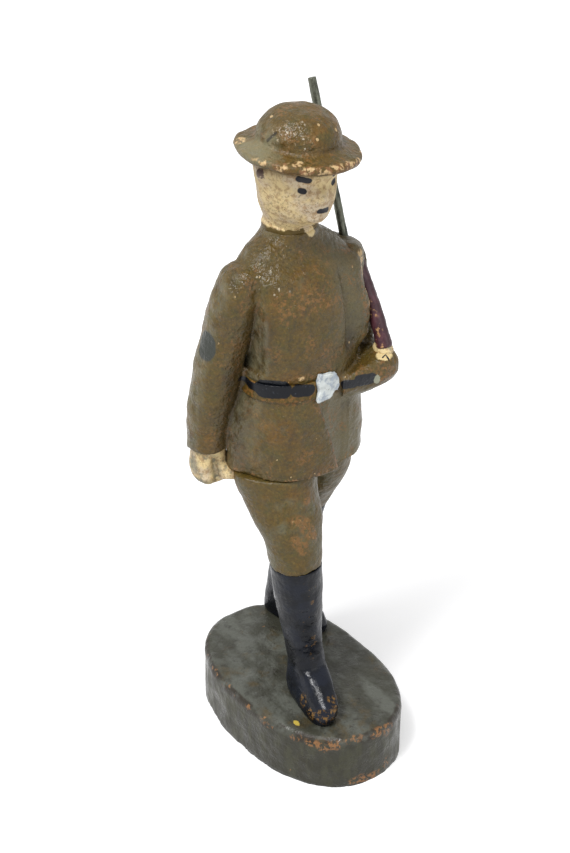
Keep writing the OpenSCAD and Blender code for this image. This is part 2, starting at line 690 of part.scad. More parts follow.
base();
right_boot();
left_boot();
right_breeches();
left_breeches();
tunic_front();
tunic_back();
collar();
belt();
buckle();
right_sleeve();
right_hand();
left_sleeve();
left_forearm();
left_hand();
head();
helmet();
rifle_stock();
rifle_barrel();
right_leg_wire();
left_leg_wire();
spine_wire();
right_arm_wire();
left_arm_wire();
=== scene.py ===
import bpy
import numpy as np
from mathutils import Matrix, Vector


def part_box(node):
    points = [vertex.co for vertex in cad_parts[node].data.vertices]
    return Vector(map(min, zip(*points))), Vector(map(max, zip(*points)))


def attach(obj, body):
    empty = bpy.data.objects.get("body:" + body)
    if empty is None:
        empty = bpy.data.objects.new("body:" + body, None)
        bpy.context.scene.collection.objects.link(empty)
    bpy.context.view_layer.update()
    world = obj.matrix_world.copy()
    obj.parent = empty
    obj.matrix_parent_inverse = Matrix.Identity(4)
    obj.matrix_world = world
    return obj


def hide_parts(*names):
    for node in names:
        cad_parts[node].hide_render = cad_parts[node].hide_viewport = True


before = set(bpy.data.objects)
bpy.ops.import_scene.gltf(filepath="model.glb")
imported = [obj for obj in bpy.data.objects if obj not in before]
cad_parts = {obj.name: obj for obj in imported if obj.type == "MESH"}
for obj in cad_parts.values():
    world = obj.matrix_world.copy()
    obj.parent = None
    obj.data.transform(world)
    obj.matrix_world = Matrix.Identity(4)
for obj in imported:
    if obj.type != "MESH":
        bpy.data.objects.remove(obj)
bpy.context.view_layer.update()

# The figure is described in millimetres and made in metres
MM = 0.001
scene = bpy.context.scene

# Levels of the figure, and one above all of it
ABOVE = 100
DECK = 6.9
BOOT_TOP = 25.2
HEM = 36.1
NECK = 61.9
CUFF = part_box("right_hand")[1].z / MM

# Armature wires of the legs
LEG_WIRES = ("right_leg_wire", "left_leg_wire")

# Middle plane of the leaning chest and head
MID_X = -0.35

# Skirt flap: its slanting free edge, its step and how soft that is,
# and where the moulded flap fades out, upwards and to the left
FLAP_EDGE_Z = (36.0, 37.6, 41.2, 44.8)
FLAP_EDGE_X = (1.5, 1.0, -0.2, -1.2)
FLAP_STEP = 0.8
FLAP_SOFT = (-0.1, 0.25)
FLAP_FADE_Z = 45.5
FLAP_FADE = 3.3
FLAP_END_X = 3.2
FLAP_END = 0.9

# Slant of the flap's edge as a sum of x and a share of z, for its paint
FLAP_SLANT = (1, 0, 0.29)
FLAP_LINE = 11.75

# The trailing leg leans, so that its foot stands back at the base's rear rim:
# levels, and the shift in x and y there
TRAIL_LEVELS = (DECK - 2.5, DECK, BOOT_TOP, 32, HEM)
TRAIL_SHIFT = ((0, 1.8, 1.2, 1.0, 0.3), (0, 2.5, 0.5, 0.1, 0))

# Points of a mesh nearer than this are one, and a point with a smaller weight isn't rubbed
WELD = 0.002
LEAST_WEIGHT = 0.02

# A shell with a smaller share of the largest one's points is a pocket
POCKET_SHARE = 0.2

# Base: the power of its oval, the width of its rounded rim, and the height that is pressed flat underneath
BASE_POWER = 2.3
BASE_RIM = 0.5
BASE_FLAT = 0.3

# Helmet: its rim and the crown's foot as shares of its half width, their levels, and the tilt along x and y
RIM_SHARE = 0.96
FOOT_SHARE = 0.7104
RIM_Z = 70.9
FOOT_Z = 71.9
HELMET_TILT = (-0.1, 0.06)

# Raised fist: the shares of its width and height that show, and how far it sinks into the cuff
FIST_WIDTH_SHARE = 0.78
FIST_HEIGHT_SHARE = 0.75
FIST_SINK = 0.4

# Camera of the photograph, its lens on a 36 mm sensor
CAMERA_PLACE = (-93.139, -126.093, 130.962)
CAMERA_AIM = (-1.009, 1.747, 38.916)
CAMERA_LENS = 71.4975
SENSOR = 36

# Lamps in metres and watts: name, place, size and power
LAMPS = (("soft_overhead", (-0.26, -0.10, 0.54), 0.4, 1.45),
         ("glint_light", (-0.28, -0.09, 0.52), 0.12, 1.5),
         ("front_fill", (0.10, -0.50, 0.25), 0.40, 0.5))
LAMP_AIM = (0, 0, 0.04)

# Floor paper: its colour, and its glow from under the figure, at 15 mm, outwards to 100 mm
FLOOR_COLOUR = (0.76, 0.76, 0.77, 1)
FLOOR_GLOW = (("From Min", 0.015), ("From Max", 0.1), ("To Min", 0.48), ("To Max", 0.8))

# Strength of the white world, as light and as backdrop
WORLD_LIGHT = 0.31
WORLD_BACKDROP = 1.0


# Making pieces


def pick(piece):
    bpy.ops.object.select_all(action="DESELECT")
    piece.select_set(True)
    bpy.context.view_layer.objects.active = piece


def edit_all(piece):
    """Opens the whole mesh of a piece for editing."""
    pick(piece)
    bpy.ops.object.mode_set(mode="EDIT")
    bpy.ops.mesh.select_all(action="SELECT")


def copy_of(node):
    """A merged copy of a moulding, to be kneaded into a new piece."""
    piece = bpy.data.objects.new(node + "_copy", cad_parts[node].data.copy())
    piece.data.materials.clear()
    scene.collection.objects.link(piece)
    edit_all(piece)
    bpy.ops.mesh.remove_doubles(threshold=WELD * MM)
    bpy.ops.object.mode_set(mode="OBJECT")
    return piece


def cut_level(piece, level, keep_above):
    edit_all(piece)
    bpy.ops.mesh.bisect(plane_co=(0, 0, level * MM), plane_no=(0, 0, 1), use_fill=True,
                        clear_inner=keep_above, clear_outer=not keep_above)
    bpy.ops.object.mode_set(mode="OBJECT")


def wire_stretch(node, low, high):
    """The stretch of an armature wire that fills the bore between two levels."""
    piece = copy_of(node)
    low_z, high_z = (corner.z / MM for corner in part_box(node))
    if low_z < low:
        cut_level(piece, low, True)
    if high_z > high:
        cut_level(piece, high, False)
    return piece


def apply_modifier(piece, kind, **settings):
    pick(piece)
    modifier = piece.modifiers.new(kind.lower(), kind)
    for name, value in settings.items():
        setattr(modifier, name, value)
    bpy.ops.object.modifier_apply(modifier=modifier.name)


def drop_pockets(piece):
    """Drops closed pockets left inside a remeshed body, and keeps its large shells in one piece."""
    name = piece.name
    edit_all(piece)
    bpy.ops.mesh.separate(type="LOOSE")
    bpy.ops.object.mode_set(mode="OBJECT")
    shells = sorted(bpy.context.selected_objects, key=lambda shell: len(shell.data.vertices))
    least = POCKET_SHARE * len(shells[-1].data.vertices)
    for shell in [shell for shell in shells if len(shell.data.vertices) < least]:
        bpy.data.objects.remove(shell)
    largest = shells[-1]
    bpy.context.view_layer.objects.active = largest
    if len(bpy.context.selected_objects) > 1:
        bpy.ops.object.join()
    largest.name = name
    return largest


def moulding(name, nodes, grain, wires=(), levels=(0, ABOVE), smooth=6, pushes=(), trailing=False):
    """One pressed body: its mouldings and the wires in them, pressed together and rubbed smooth."""
    parts = {node: copy_of(node) for node in nodes}
    parts.update({wire: wire_stretch(wire, *levels) for wire in wires})
    for node, line, width, shift in pushes:
        push(parts[node], line, width, shift)
    if trailing:
        for node in parts:
            if node.startswith("left"):
                trail(parts[node])
    parts = list(parts.values())
    bpy.ops.object.select_all(action="DESELECT")
    for part in parts:
        part.select_set(True)
    bpy.context.view_layer.objects.active = parts[0]
    if len(parts) > 1:
        bpy.ops.object.join()
    piece = bpy.context.view_layer.objects.active
    piece.name = name
    apply_modifier(piece, "REMESH", mode="VOXEL", voxel_size=grain * MM)
    piece = drop_pockets(piece)
    piece.data.name = name
    apply_modifier(piece, "SMOOTH", factor=0.5, iterations=smooth)
    pick(piece)
    bpy.ops.object.shade_smooth()
    return piece


def vectors_of(piece, kind):
    flat = np.empty(len(piece.data.vertices) * 3)
    piece.data.vertices.foreach_get(kind, flat)
    return flat.reshape(-1, 3)


def places_of(piece):
    return vectors_of(piece, "co") / MM


def put_places(piece, places):
    piece.data.vertices.foreach_set("co", (places * MM).ravel())
    piece.data.update()


def distance_to(places, line):
    """Distance of each place to a line of points."""
    line = np.array(line, float).reshape(-1, 3)
    if len(line) == 1:
        return np.linalg.norm(places - line[0], axis=1)
    best = np.full(len(places), np.inf)
    for start, end in zip(line[:-1], line[1:]):
        run = end - start
        along = np.clip((places - start) @ run / (run @ run), 0, 1)
        best = np.minimum(best, np.linalg.norm(places - start - along[:, None] * run, axis=1))
    return best


def knead(piece, strokes):
    """Strokes of a modelling tool: a line of points, the tool's width, and how far it raises the surface."""
    for line, width, rise in strokes:
        places = places_of(piece)
        lift = rise * np.exp(-((distance_to(places, line) / width) ** 2))
        put_places(piece, places + vectors_of(piece, "normal") * lift[:, None])


def push(piece, line, width, shift):
    """Pushes the mass round a point or a line of points in one direction."""
    places = places_of(piece)
    weight = np.exp(-((distance_to(places, line) / width) ** 2))
    put_places(piece, places + weight[:, None] * np.array(shift))


def trail(piece):
    """Leans a piece of the trailing leg, the foot most."""
    places = places_of(piece)
    shifts = [np.interp(places[:, 2], TRAIL_LEVELS, shift) for shift in TRAIL_SHIFT]
    places[:, 0] += shifts[0]
    places[:, 1] += shifts[1]
    put_places(piece, places)


def keep_on_base(piece):
    """Presses a foot back inside the rim of the base."""
    places = places_of(piece)
    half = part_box("base")[1] / MM
    reach = (np.abs(places[:, 0] / (half.x - BASE_RIM)) ** BASE_POWER
             + np.abs(places[:, 1] / (half.y - BASE_RIM)) ** BASE_POWER) ** (1 / BASE_POWER)
    places[:, :2] /= np.maximum(reach, 1)[:, None]
    put_places(piece, places)


def unevenness(piece, *lumps):
    """The hand-pressed unevenness of a surface: lumps of some sizes and heights."""
    for size, height in lumps:
        clouds = bpy.data.textures.new(piece.name + "_lumps", "CLOUDS")
        clouds.noise_scale = size * MM
        clouds.noise_depth = 1
        apply_modifier(piece, "DISPLACE", texture=clouds, texture_coords="LOCAL", direction="NORMAL",
                       strength=2 * height * MM, mid_level=0.5)


def rub(piece, spots, times):
    """Rubs the surface smooth round some points, each with the thumb's width."""
    group = piece.vertex_groups.new(name="rubbed")
    places = places_of(piece)
    weight = np.zeros(len(places))
    for centre, width in spots:
        weight = np.maximum(weight, np.exp(-((distance_to(places, centre) / width) ** 2)))
    for index in np.nonzero(weight > LEAST_WEIGHT)[0]:
        group.add([int(index)], float(weight[index]), "REPLACE")
    apply_modifier(piece, "SMOOTH", factor=0.5, iterations=times, vertex_group=group.name)
    piece.vertex_groups.clear()


def oval(x, y, half_x, half_y, count):
    """Points once round an oval."""
    turns = np.linspace(0, 2 * np.pi, count)
    return [(x + half_x * np.cos(turn), y + half_y * np.sin(turn)) for turn in turns]


def eased(values, low, high):
    """A smooth share from 0 at the low value to 1 at the high one."""
    share = np.clip((values - low) / (high - low), 0, 1)
    return share * share * (3 - 2 * share)


def settle(piece, paint, node, slot, *others):
    """Paints a finished piece and hands it over for its CAD nodes."""
    piece.data.materials.append(paint)
    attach(piece, "root")
    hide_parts(node, *others)


# Paint


def tone(red, green, blue):
    """A paint tone from its screen values."""
    shares = [value / 255 for value in (red, green, blue)]
    return tuple(s / 12.92 if s <= 0.04045 else ((s + 0.055) / 1.055) ** 2.4 for s in shares) + (1,)


# Ragged edges share these places in the pattern, so that a finish stays small
FRAY_SHIFTS = (0, 11, 23)

# How far the levels of a cloudy pattern spread about its middle
NOISE_SPREAD = 0.32

# Specks: lumps and wobble of their outline and softness of their edge, as shares of their spacing and radius,
# and the share of them that isn't faint
SPECK_LUMPS = 3
SPECK_WOBBLE = 0.45
SPECK_EDGE = 0.25
SPECK_WHOLE = 0.9

# Openness of a hollow, from its rim to its depth, and sharpness of an edge, from none to worn
HOLLOW_RANGE = (0.86, 0.35)
EDGE_RANGE = (0.53, 0.58)

# Places in the pattern that gloss and the layers of relief follow in every finish
GLOSS_SHIFT = 31
RELIEF_SHIFTS = (5, 7)

# Brush strokes in the face reach deeper from front to back
FACE_FLAT = (1, 0.4, 1)

# Directions in which a shift moves a pattern
CLOUD_STEP = (1, 1.7, -1)
SPECK_STEP = (1, -1, 0.6)

# Sockets of a colour mix, which share their names with those of other kinds of mix
MIX_UNDER = 6
MIX_OVER = 7
MIX_RESULT = 2


class Paint:
    """A painted finish, described in millimetres on the object."""

    def __init__(self, name):
        self.material = bpy.data.materials.new(name)
        self.material.use_nodes = True
        self.tree = self.material.node_tree
        self.shader = self.tree.nodes["Principled BSDF"]
        place = self.tree.nodes.new("ShaderNodeTexCoord").outputs["Object"]
        self.mm = self.vector("SCALE", place, 1 / MM)
        self.made = {}

    def feed(self, socket, value):
        if isinstance(value, bpy.types.NodeSocket):
            self.tree.links.new(value, socket)
        else:
            socket.default_value = value

    def vector(self, operation, a, b):
        node = self.tree.nodes.new("ShaderNodeVectorMath")
        node.operation = operation
        self.feed(node.inputs[0], a)
        self.feed(node.inputs["Scale"] if operation == "SCALE" else node.inputs[1], b)
        return node.outputs["Value" if operation in ("LENGTH", "DOT_PRODUCT", "DISTANCE") else "Vector"]

    def sum(self, operation, a, b, clamp=False):
        node = self.tree.nodes.new("ShaderNodeMath")
        node.operation = operation
        node.use_clamp = clamp
        self.feed(node.inputs[0], a)
        self.feed(node.inputs[1], b)
        return node.outputs[0]

    def ramp(self, value, low, high, low_out=0.0, high_out=1.0):
        node = self.tree.nodes.new("ShaderNodeMapRange")
        node.interpolation_type = "SMOOTHSTEP"
        self.feed(node.inputs["Value"], value)
        node.inputs["From Min"].default_value = low
        node.inputs["From Max"].default_value = high
        node.inputs["To Min"].default_value = low_out
        node.inputs["To Max"].default_value = high_out
        return node.outputs["Result"]

    def place(self, shift, stretch):
        """The place on the object, moved so that two patterns differ. Each one is made once."""
        if (shift, stretch) not in self.made:
            place = self.mm
            if shift or stretch:
                place = self.vector("ADD", place, [shift * step for step in CLOUD_STEP])
            if stretch:
                place = self.vector("MULTIPLY", place, stretch)
            self.made[shift, stretch] = place
        return self.made[shift, stretch]

    def noise(self, size, shift=0, detail=3, roughness=0.6, stretch=None):
        """A cloudy pattern of one size. Each one is made once."""
        key = (size, shift, detail, roughness, stretch)
        if key not in self.made:
            node = self.tree.nodes.new("ShaderNodeTexNoise")
            node.inputs["Scale"].default_value = 1 / size
            node.inputs["Detail"].default_value = detail
            node.inputs["Roughness"].default_value = roughness
            self.feed(node.inputs["Vector"], self.place(shift, stretch))
            self.made[key] = node.outputs["Fac"]
        return self.made[key]

    def clouds(self, low, high, *pattern):
        """A soft share of a cloudy pattern, from 0 at its low level to 1 at its high one."""
        return self.ramp(self.noise(*pattern), low, high)

    def patches(self, size, cover, edge, shift, detail=3, roughness=0.6, stretch=None):
        """Ragged patches that take up about the given cover of the surface."""
        level = 0.5 + NOISE_SPREAD * (0.5 - cover)
        return self.clouds(level, level + edge, size, shift, detail, roughness, stretch)

    def specks(self, spacing, radius, share, shift):
        """Scattered specks of one size; a share of the places has one."""
        place = self.vector("ADD", self.mm, [shift * step for step in SPECK_STEP])
        wobble = self.tree.nodes.new("ShaderNodeTexNoise")
        wobble.inputs["Scale"].default_value = SPECK_LUMPS / spacing
        self.feed(wobble.inputs["Vector"], place)
        place = self.vector("ADD", place,
                            self.vector("SCALE", wobble.outputs["Color"], SPECK_WOBBLE * spacing))
        cells = self.tree.nodes.new("ShaderNodeTexVoronoi")
        cells.inputs["Scale"].default_value = 1 / spacing
        self.feed(cells.inputs["Vector"], place)
        chance = self.tree.nodes.new("ShaderNodeSeparateColor")
        self.feed(chance.inputs[0], cells.outputs["Color"])
        chosen = self.ramp(chance.outputs[0], 1 - share, 1 - SPECK_WHOLE * share)
        outer, inner = ((1 + soft) * radius / spacing for soft in (SPECK_EDGE, -SPECK_EDGE))
        return self.both(self.ramp(cells.outputs["Distance"], outer, inner), chosen)

    def frayed(self, reach, ragged, size, shift):
        """A distance with a ragged edge."""
        fray = self.sum("SUBTRACT", self.noise(size, FRAY_SHIFTS[round(shift) % len(FRAY_SHIFTS)]), 0.5)
        return self.sum("ADD", reach, self.sum("MULTIPLY", fray, 2 * ragged))

    def spot(self, centre, radii, ragged=0.3, edge=0.12, size=0.8):
        """One ragged patch about a point."""
        near = self.vector("DIVIDE", self.vector("SUBTRACT", self.mm, centre), radii)
        reach = self.frayed(self.vector("LENGTH", near, (0, 0, 0)), ragged, size, sum(centre))
        return self.ramp(reach, 1 + edge, 1 - edge)

    def spots(self, rows, **settings):
        mask = self.spot(*rows[0], **settings)
        for row in rows[1:]:
            mask = self.either(mask, self.spot(*row, **settings))
        return mask

    def stroke(self, line, width, ragged=0.15, edge=0.15, size=0.5, flat=(1, 1, 1)):
        """One brush stroke along a line of points; flat makes it reach deeper along an axis."""
        place = self.vector("MULTIPLY", self.mm, flat)
        points = [Vector([value * share for value, share in zip(point, flat)]) for point in line]
        reach = None
        for start, end in zip(points[:-1], points[1:]):
            run = end - start
            offset = self.vector("SUBTRACT", place, start)
            share = self.sum("MULTIPLY", self.vector("DOT_PRODUCT", offset, run), 1 / run.dot(run),
                             clamp=True)
            gap = self.vector("DISTANCE", offset, self.vector("SCALE", run, share))
            reach = gap if reach is None else self.sum("MINIMUM", reach, gap)
        reach = self.frayed(self.sum("DIVIDE", reach, width), ragged, size, sum(line[0]))
        return self.ramp(reach, 1 + edge, 1 - edge)

    def both(self, a, b):
        return self.sum("MULTIPLY", a, b)

    def either(self, a, b):
        return self.sum("MAXIMUM", a, b)

    def along(self, axis, low, high, ragged=0.0, size=1.0):
        """A share from 0 to 1 along one axis of the object."""
        split = self.tree.nodes.new("ShaderNodeSeparateXYZ")
        self.feed(split.inputs[0], self.mm)
        value = split.outputs[axis]
        if ragged:
            value = self.frayed(value, ragged, size, low)
        return self.ramp(value, low, high)

    def facing(self, direction, low, high):
        """Where the surface faces a direction of the object."""
        geometry = self.tree.nodes.new("ShaderNodeNewGeometry")
        return self.ramp(self.vector("DOT_PRODUCT", geometry.outputs["Normal"], direction), low, high)

    def shade_and_dirt_in_hollows(self, reach):
        """Grooves and inner corners, darkened as painted shade and for the dirt and varnish that gather
        there.
        """
        node = self.tree.nodes.new("ShaderNodeAmbientOcclusion")
        node.only_local = True
        node.samples = 8
        node.inputs["Distance"].default_value = reach * MM
        return self.ramp(node.outputs["AO"], *HOLLOW_RANGE)

    def edges(self):
        """Worn edges, where the surface is sharply rounded."""
        geometry = self.tree.nodes.new("ShaderNodeNewGeometry")
        return self.ramp(geometry.outputs["Pointiness"], *EDGE_RANGE)

    def mix(self, under, over, share):
        """A share of one colour over another."""
        node = self.tree.nodes.new("ShaderNodeMix")
        node.data_type = "RGBA"
        self.feed(node.inputs["Factor"], share)
        self.feed(node.inputs[MIX_UNDER], under)
        self.feed(node.inputs[MIX_OVER], over)
        return node.outputs[MIX_RESULT]

    def wash(self, under, over, mask, share=1.0):
        """A coat over another where the mask is, at a share of its strength."""
        return self.mix(under, over, mask if share == 1.0 else self.sum("MULTIPLY", mask, share))

    def relief(self, *layers):
        """Fine relief, layer by layer: the size and the depth of its lumps in millimetres."""
        normal = None
        for shift, (size, depth, *detail) in zip(RELIEF_SHIFTS, layers):
            node = self.tree.nodes.new("ShaderNodeBump")
            node.inputs["Strength"].default_value = 1
            node.inputs["Distance"].default_value = depth * MM
            self.feed(node.inputs["Height"], self.noise(size, shift, *detail))
            if normal is not None:
                self.feed(node.inputs["Normal"], normal)
            normal = node.outputs["Normal"]
        self.feed(self.shader.inputs["Normal"], normal)

    def sheen(self, size, dull, shiny, low=0.4, high=0.62):
        """Roughness that goes from dull to shiny in patches of one size."""
        return self.ramp(self.noise(size, GLOSS_SHIFT), low, high, dull, shiny)

    def finish(self, colour, roughness, specular=0.5):
        self.feed(self.shader.inputs["Base Color"], colour)
        self.feed(self.shader.inputs["Roughness"], roughness)
        self.shader.inputs["Specular IOR Level"].default_value = specular
        return self.material


KHAKI = tone(88, 71, 28)
KHAKI_WARM = tone(103, 74, 22)
KHAKI_GREY = tone(98, 93, 68)
KHAKI_GREEN = tone(78, 71, 32)
KHAKI_DARK = tone(46, 37, 22)
RUBBED = tone(134, 95, 50)
CLAY = tone(158, 116, 76)
CREAM = tone(220, 188, 138)
NAVY = tone(5, 8, 16)
NAVY_WORN = tone(58, 62, 72)
SLATE = tone(54, 57, 51)
SILVER = tone(218, 224, 222)
FLESH = tone(228, 205, 152)
FLESH_PALE = tone(214, 196, 166)
GRIME_AND_SHADE = tone(104, 84, 60)
DIRT_AND_SHADE = tone(106, 110, 98)
INK = tone(20, 20, 26)
PLUM = tone(66, 42, 52)


def khaki_coat(paint, warm, grey):
    """The brushed khaki coat that the uniform, breeches, helmet and belt share."""
    coat = paint.mix(KHAKI, KHAKI_WARM, paint.clouds(0.62 - 0.3 * warm, 0.82 - 0.2 * warm, 3.6, 0, 4))
    coat = paint.mix(coat, KHAKI_GREY, paint.clouds(0.68 - 0.3 * grey, 0.88 - 0.3 * grey, 2.8, 9, 4))
    coat = paint.wash(coat, KHAKI_GREEN, paint.clouds(0.46, 0.66, 1.1, 14, 4, 0.65), 0.75)
    coat = paint.wash(coat, KHAKI_DARK, paint.clouds(0.42, 0.7, 0.3, 3, 3, 0.65), 0.45)
    coat = paint.wash(coat, tone(130, 104, 52), paint.clouds(0.5, 0.72, 0.34, 18, 3, 0.65), 0.4)
    return paint.wash(coat, KHAKI_DARK, paint.specks(0.8, 0.07, 0.2, 6), 0.4)


def rubbed_through(paint, coat, spread, cover, shift, share):
    """Broken patches where the coat is rubbed down to the clay."""
    broken = paint.both(paint.clouds(0.62 - 0.3 * cover, 0.74 - 0.3 * cover, spread, shift, 4),
                        paint.clouds(0.45, 0.58, 0.32, shift + 3))
    return paint.wash(coat, RUBBED, broken, share)


def worn_spots(paint, coat, rows, colour, share, cover):
    """Wear at chosen places, broken up as rubbed paint is."""
    broken = paint.both(paint.spots(rows, ragged=0.7, edge=0.35, size=0.9),
                        paint.patches(0.42, cover, 0.1, 17, 3, 0.62))
    return paint.wash(coat, colour, broken, share)


def khaki_relief(paint, fine=0.12):
    """The lumps of the brushed coat, with the depth of the finer ones."""
    paint.relief((1.4, 0.28), (0.55, fine))


def painted_glint_flecks(paint, coat, glints):
    """Painted glints: bright flecks inside the glossy places."""
    return paint.wash(coat, tone(214, 204, 182), paint.both(glints, paint.specks(0.5, 0.12, 0.3, 44)), 0.6)


def belt_lozenges(paint):
    """The three black strokes of the painted belt, on the figure's right and front."""
    strokes = paint.stroke([(-6.5, -1.9, 46.95), (-5.1, -3.5, 47.05)], 0.98, 0.12, 0.07, 0.9)
    strokes = paint.either(strokes,
                           paint.stroke([(-7.1, 0.7, 46.95), (-6.7, -1.3, 46.9)], 0.5, 0.12, 0.1, 0.9))
    return paint.either(strokes,
                        paint.stroke([(-3.75, -4.15, 46.85), (-2.55, -4.6, 46.72)], 0.72, 0.14, 0.08, 0.8))


def panel_front(paint):
    """The front of the skirt, below the belt."""
    return paint.both(paint.along("Z", 44.4, 43.4, 0.4, 2), paint.along("Y", -3, -4))


def rim_lit_side(paint, coat, share):
    """Painted rim light: the paler, greener cast on the side that faces -x."""
    rim_light_mask = paint.both(paint.facing((-0.97, 0.1, 0.2), 0.7, 1.0), paint.clouds(0.3, 0.6, 1.4, 27))
    return paint.wash(coat, tone(140, 138, 112), rim_light_mask, share)


def finger_mark(paint):
    """The dark hook that marks the fingers of the raised hand."""
    return paint.stroke([(6.44, -5.3, 48.0), (6.95, -5.15, 48.1), (6.95, -5.75, 47.85)], 0.11, 0.15)


def uniform_paint():
    paint = Paint("khaki_uniform_paint")
    coat = khaki_coat(paint, 0.6, 0.2)
    left = paint.both(paint.along("X", -0.6, 3.2, 1.2, 3), paint.along("Z", 48, 52, 1.5, 3))
    coat = paint.wash(coat, KHAKI_GREY, left, 0.6)
    slant = paint.frayed(paint.vector("DOT_PRODUCT", paint.mm, FLAP_SLANT), 0.1, 1.0, 3)
    skirt = paint.along("Z", 45.6, 44.6, 0.4, 2)
    panel = paint.both(paint.ramp(slant, FLAP_LINE - 0.05, FLAP_LINE + 0.15),
                       paint.both(skirt, paint.along("Y", 3.4, -0.8, 1.0, 1.6)))
    coat = paint.wash(coat, tone(112, 106, 80), panel, 0.7)
    coat = paint.wash(coat, KHAKI_DARK, paint.clouds(0.5, 0.7, 1.7, 24, 4, 0.65, (1.5, 1.5, 0.7)), 0.4)
    coat = rubbed_through(paint, coat, 2.6, 0.3, 11, 0.6)
    coat = worn_spots(paint, coat, [
        ((-3.4, -3.6, 56.4), (3.2, 2.0, 1.4)), ((-1.0, -4.2, 55.8), (2.6, 1.4, 0.8)),
        ((-6.5, -1.6, 54.5), (0.6, 1.2, 2.6)), ((-8.6, 1.0, 44.0), (0.8, 1.0, 3.0)),
        ((-8.2, 1.4, 38.6), (0.8, 2.0, 3.0)), ((-4.4, -4.0, 45.4), (3.4, 2.0, 0.35)),
        ((-2.6, -4.6, 48.1), (2.4, 1.0, 0.4)), ((6.6, -6.0, 46.4), (1.4, 1.2, 1.7)),
        ((2.8, -5.4, 47.3), (2.4, 1.0, 0.3)), ((5.8, -3.0, 54.0), (0.8, 1.3, 4.5)),
        ((5.6, -3.6, 50.4), (0.8, 1.2, 1.6))], RUBBED, 0.7, 0.5)
    lip = paint.both(paint.ramp(slant, FLAP_LINE - 0.4, FLAP_LINE - 0.25),
                     paint.ramp(slant, FLAP_LINE + 0.1, FLAP_LINE))
    lip = paint.both(paint.both(lip, panel_front(paint)), paint.patches(0.8, 0.7, 0.2, 29))
    coat = paint.wash(coat, tone(146, 98, 56), lip, 0.8)
    # Painted shade, with some dirt, in the uniform's grooves and inner corners
    coat = paint.wash(coat, KHAKI_DARK, paint.shade_and_dirt_in_hollows(1.4), 0.85)
    # Painted shade in the hollow of the left elbow
    coat = paint.wash(coat, KHAKI_DARK,
                      paint.spot((3.3, -4.3, 50.4), (1.0, 1.2, 1.6), ragged=0.3, edge=0.6), 0.6)
    # Painted shade down the groove between the right sleeve and the body
    armhole_shade = paint.stroke([(-6.7, -1.9, 53.5), (-7.8, 0.2, 47.0), (-8.6, 0.9, 38.0)], 1.4, 0.5, 0.8, 1.0)
    coat = paint.wash(coat, KHAKI_DARK, armhole_shade, 0.7)
    # Painted rim light on the uniform's side that faces -x
    coat = rim_lit_side(paint, coat, 0.3)
    hem = paint.both(paint.along("Z", HEM + 0.8, HEM + 0.2, 0.4, 0.8), paint.patches(0.55, 0.28, 0.05, 4))
    coat = paint.wash(coat, CLAY, hem, 0.8)
    chipped = [
        ((-8.0, 1.8, 59.9), (0.5, 0.9, 0.4)), ((-7.4, 0.6, 60.2), (0.3, 0.6, 0.25)),
        ((6.2, -1.6, 58.2), (0.5, 0.9, 0.9)), ((6.4, -2.4, 55.2), (0.4, 0.8, 0.7)),
        ((-3.2, -4.4, 48.05), (0.4, 0.5, 0.3)), ((6.9, -3.4, 51.6), (0.5, 0.8, 0.9)),
        ((6.5, -2.9, 53.4), (0.5, 0.8, 0.8)), ((6.0, -1.9, 57.0), (0.4, 0.7, 0.7))]
    chips = paint.both(paint.spots(chipped, ragged=0.5, edge=0.2, size=0.5),
                       paint.patches(0.5, 0.7, 0.08, 25))
    chips = paint.either(chips, paint.specks(1.3, 0.09, 0.2, 21))
    coat = paint.wash(coat, CREAM, chips, 0.85)
    badge = paint.spot((-10.7, 2.3, 51.4), (1.2, 1.35, 1.7), ragged=0.1, edge=0.07)
    coat = paint.wash(coat, SLATE, badge)
    coat = paint.wash(coat, NAVY, belt_lozenges(paint))
    strap = paint.either(paint.stroke([(1.5, -5.1, 46.25), (2.7, -5.4, 46.2)], 0.48, 0.2, 0.1),
                         paint.stroke([(3.3, -5.6, 46.4), (4.6, -5.9, 46.35)], 0.66, 0.2, 0.1))
    coat = paint.wash(coat, NAVY, strap)
    coat = paint.wash(coat, tone(170, 172, 150),
                      paint.spot((5.3, -6.0, 46.1), (0.34, 0.8, 0.55), ragged=0.5, size=0.4), 0.85)
    coat = paint.wash(coat, FLESH, neck_drip(paint))
    coat = paint.wash(coat, FLESH, paint.spot((6.85, -5.1, 48.1), (0.95, 0.8, 0.42), ragged=0.25, size=0.5))
    coat = paint.wash(coat, INK, finger_mark(paint))
    glints = paint.spots([((-6.2, -0.4, 59.1), (1.6, 1.5, 1.1)), ((-4.7, -2.3, 57.8), (1.2, 1.0, 0.7)),
                          ((-3.2, 0.6, 61.8), (0.5, 0.5, 0.3)), ((4.6, -4.2, 47.9), (1.0, 1.0, 0.6)),
                          ((6.4, -1.4, 55.2), (0.5, 0.6, 0.8)), ((-8.3, 0.1, 58.0), (0.5, 0.6, 0.5))],
                         ragged=0.6, edge=0.3, size=0.7)
    # Painted glints on the glossy places of the uniform
    coat = painted_glint_flecks(paint, coat, glints)
    gloss = paint.sheen(2.6, 0.42, 0.26, 0.38, 0.66)
    gloss = paint.sum("SUBTRACT", gloss, paint.sum("MULTIPLY", glints, 0.16))
    khaki_relief(paint, 0.2)
    return paint.finish(coat, gloss, 0.35)


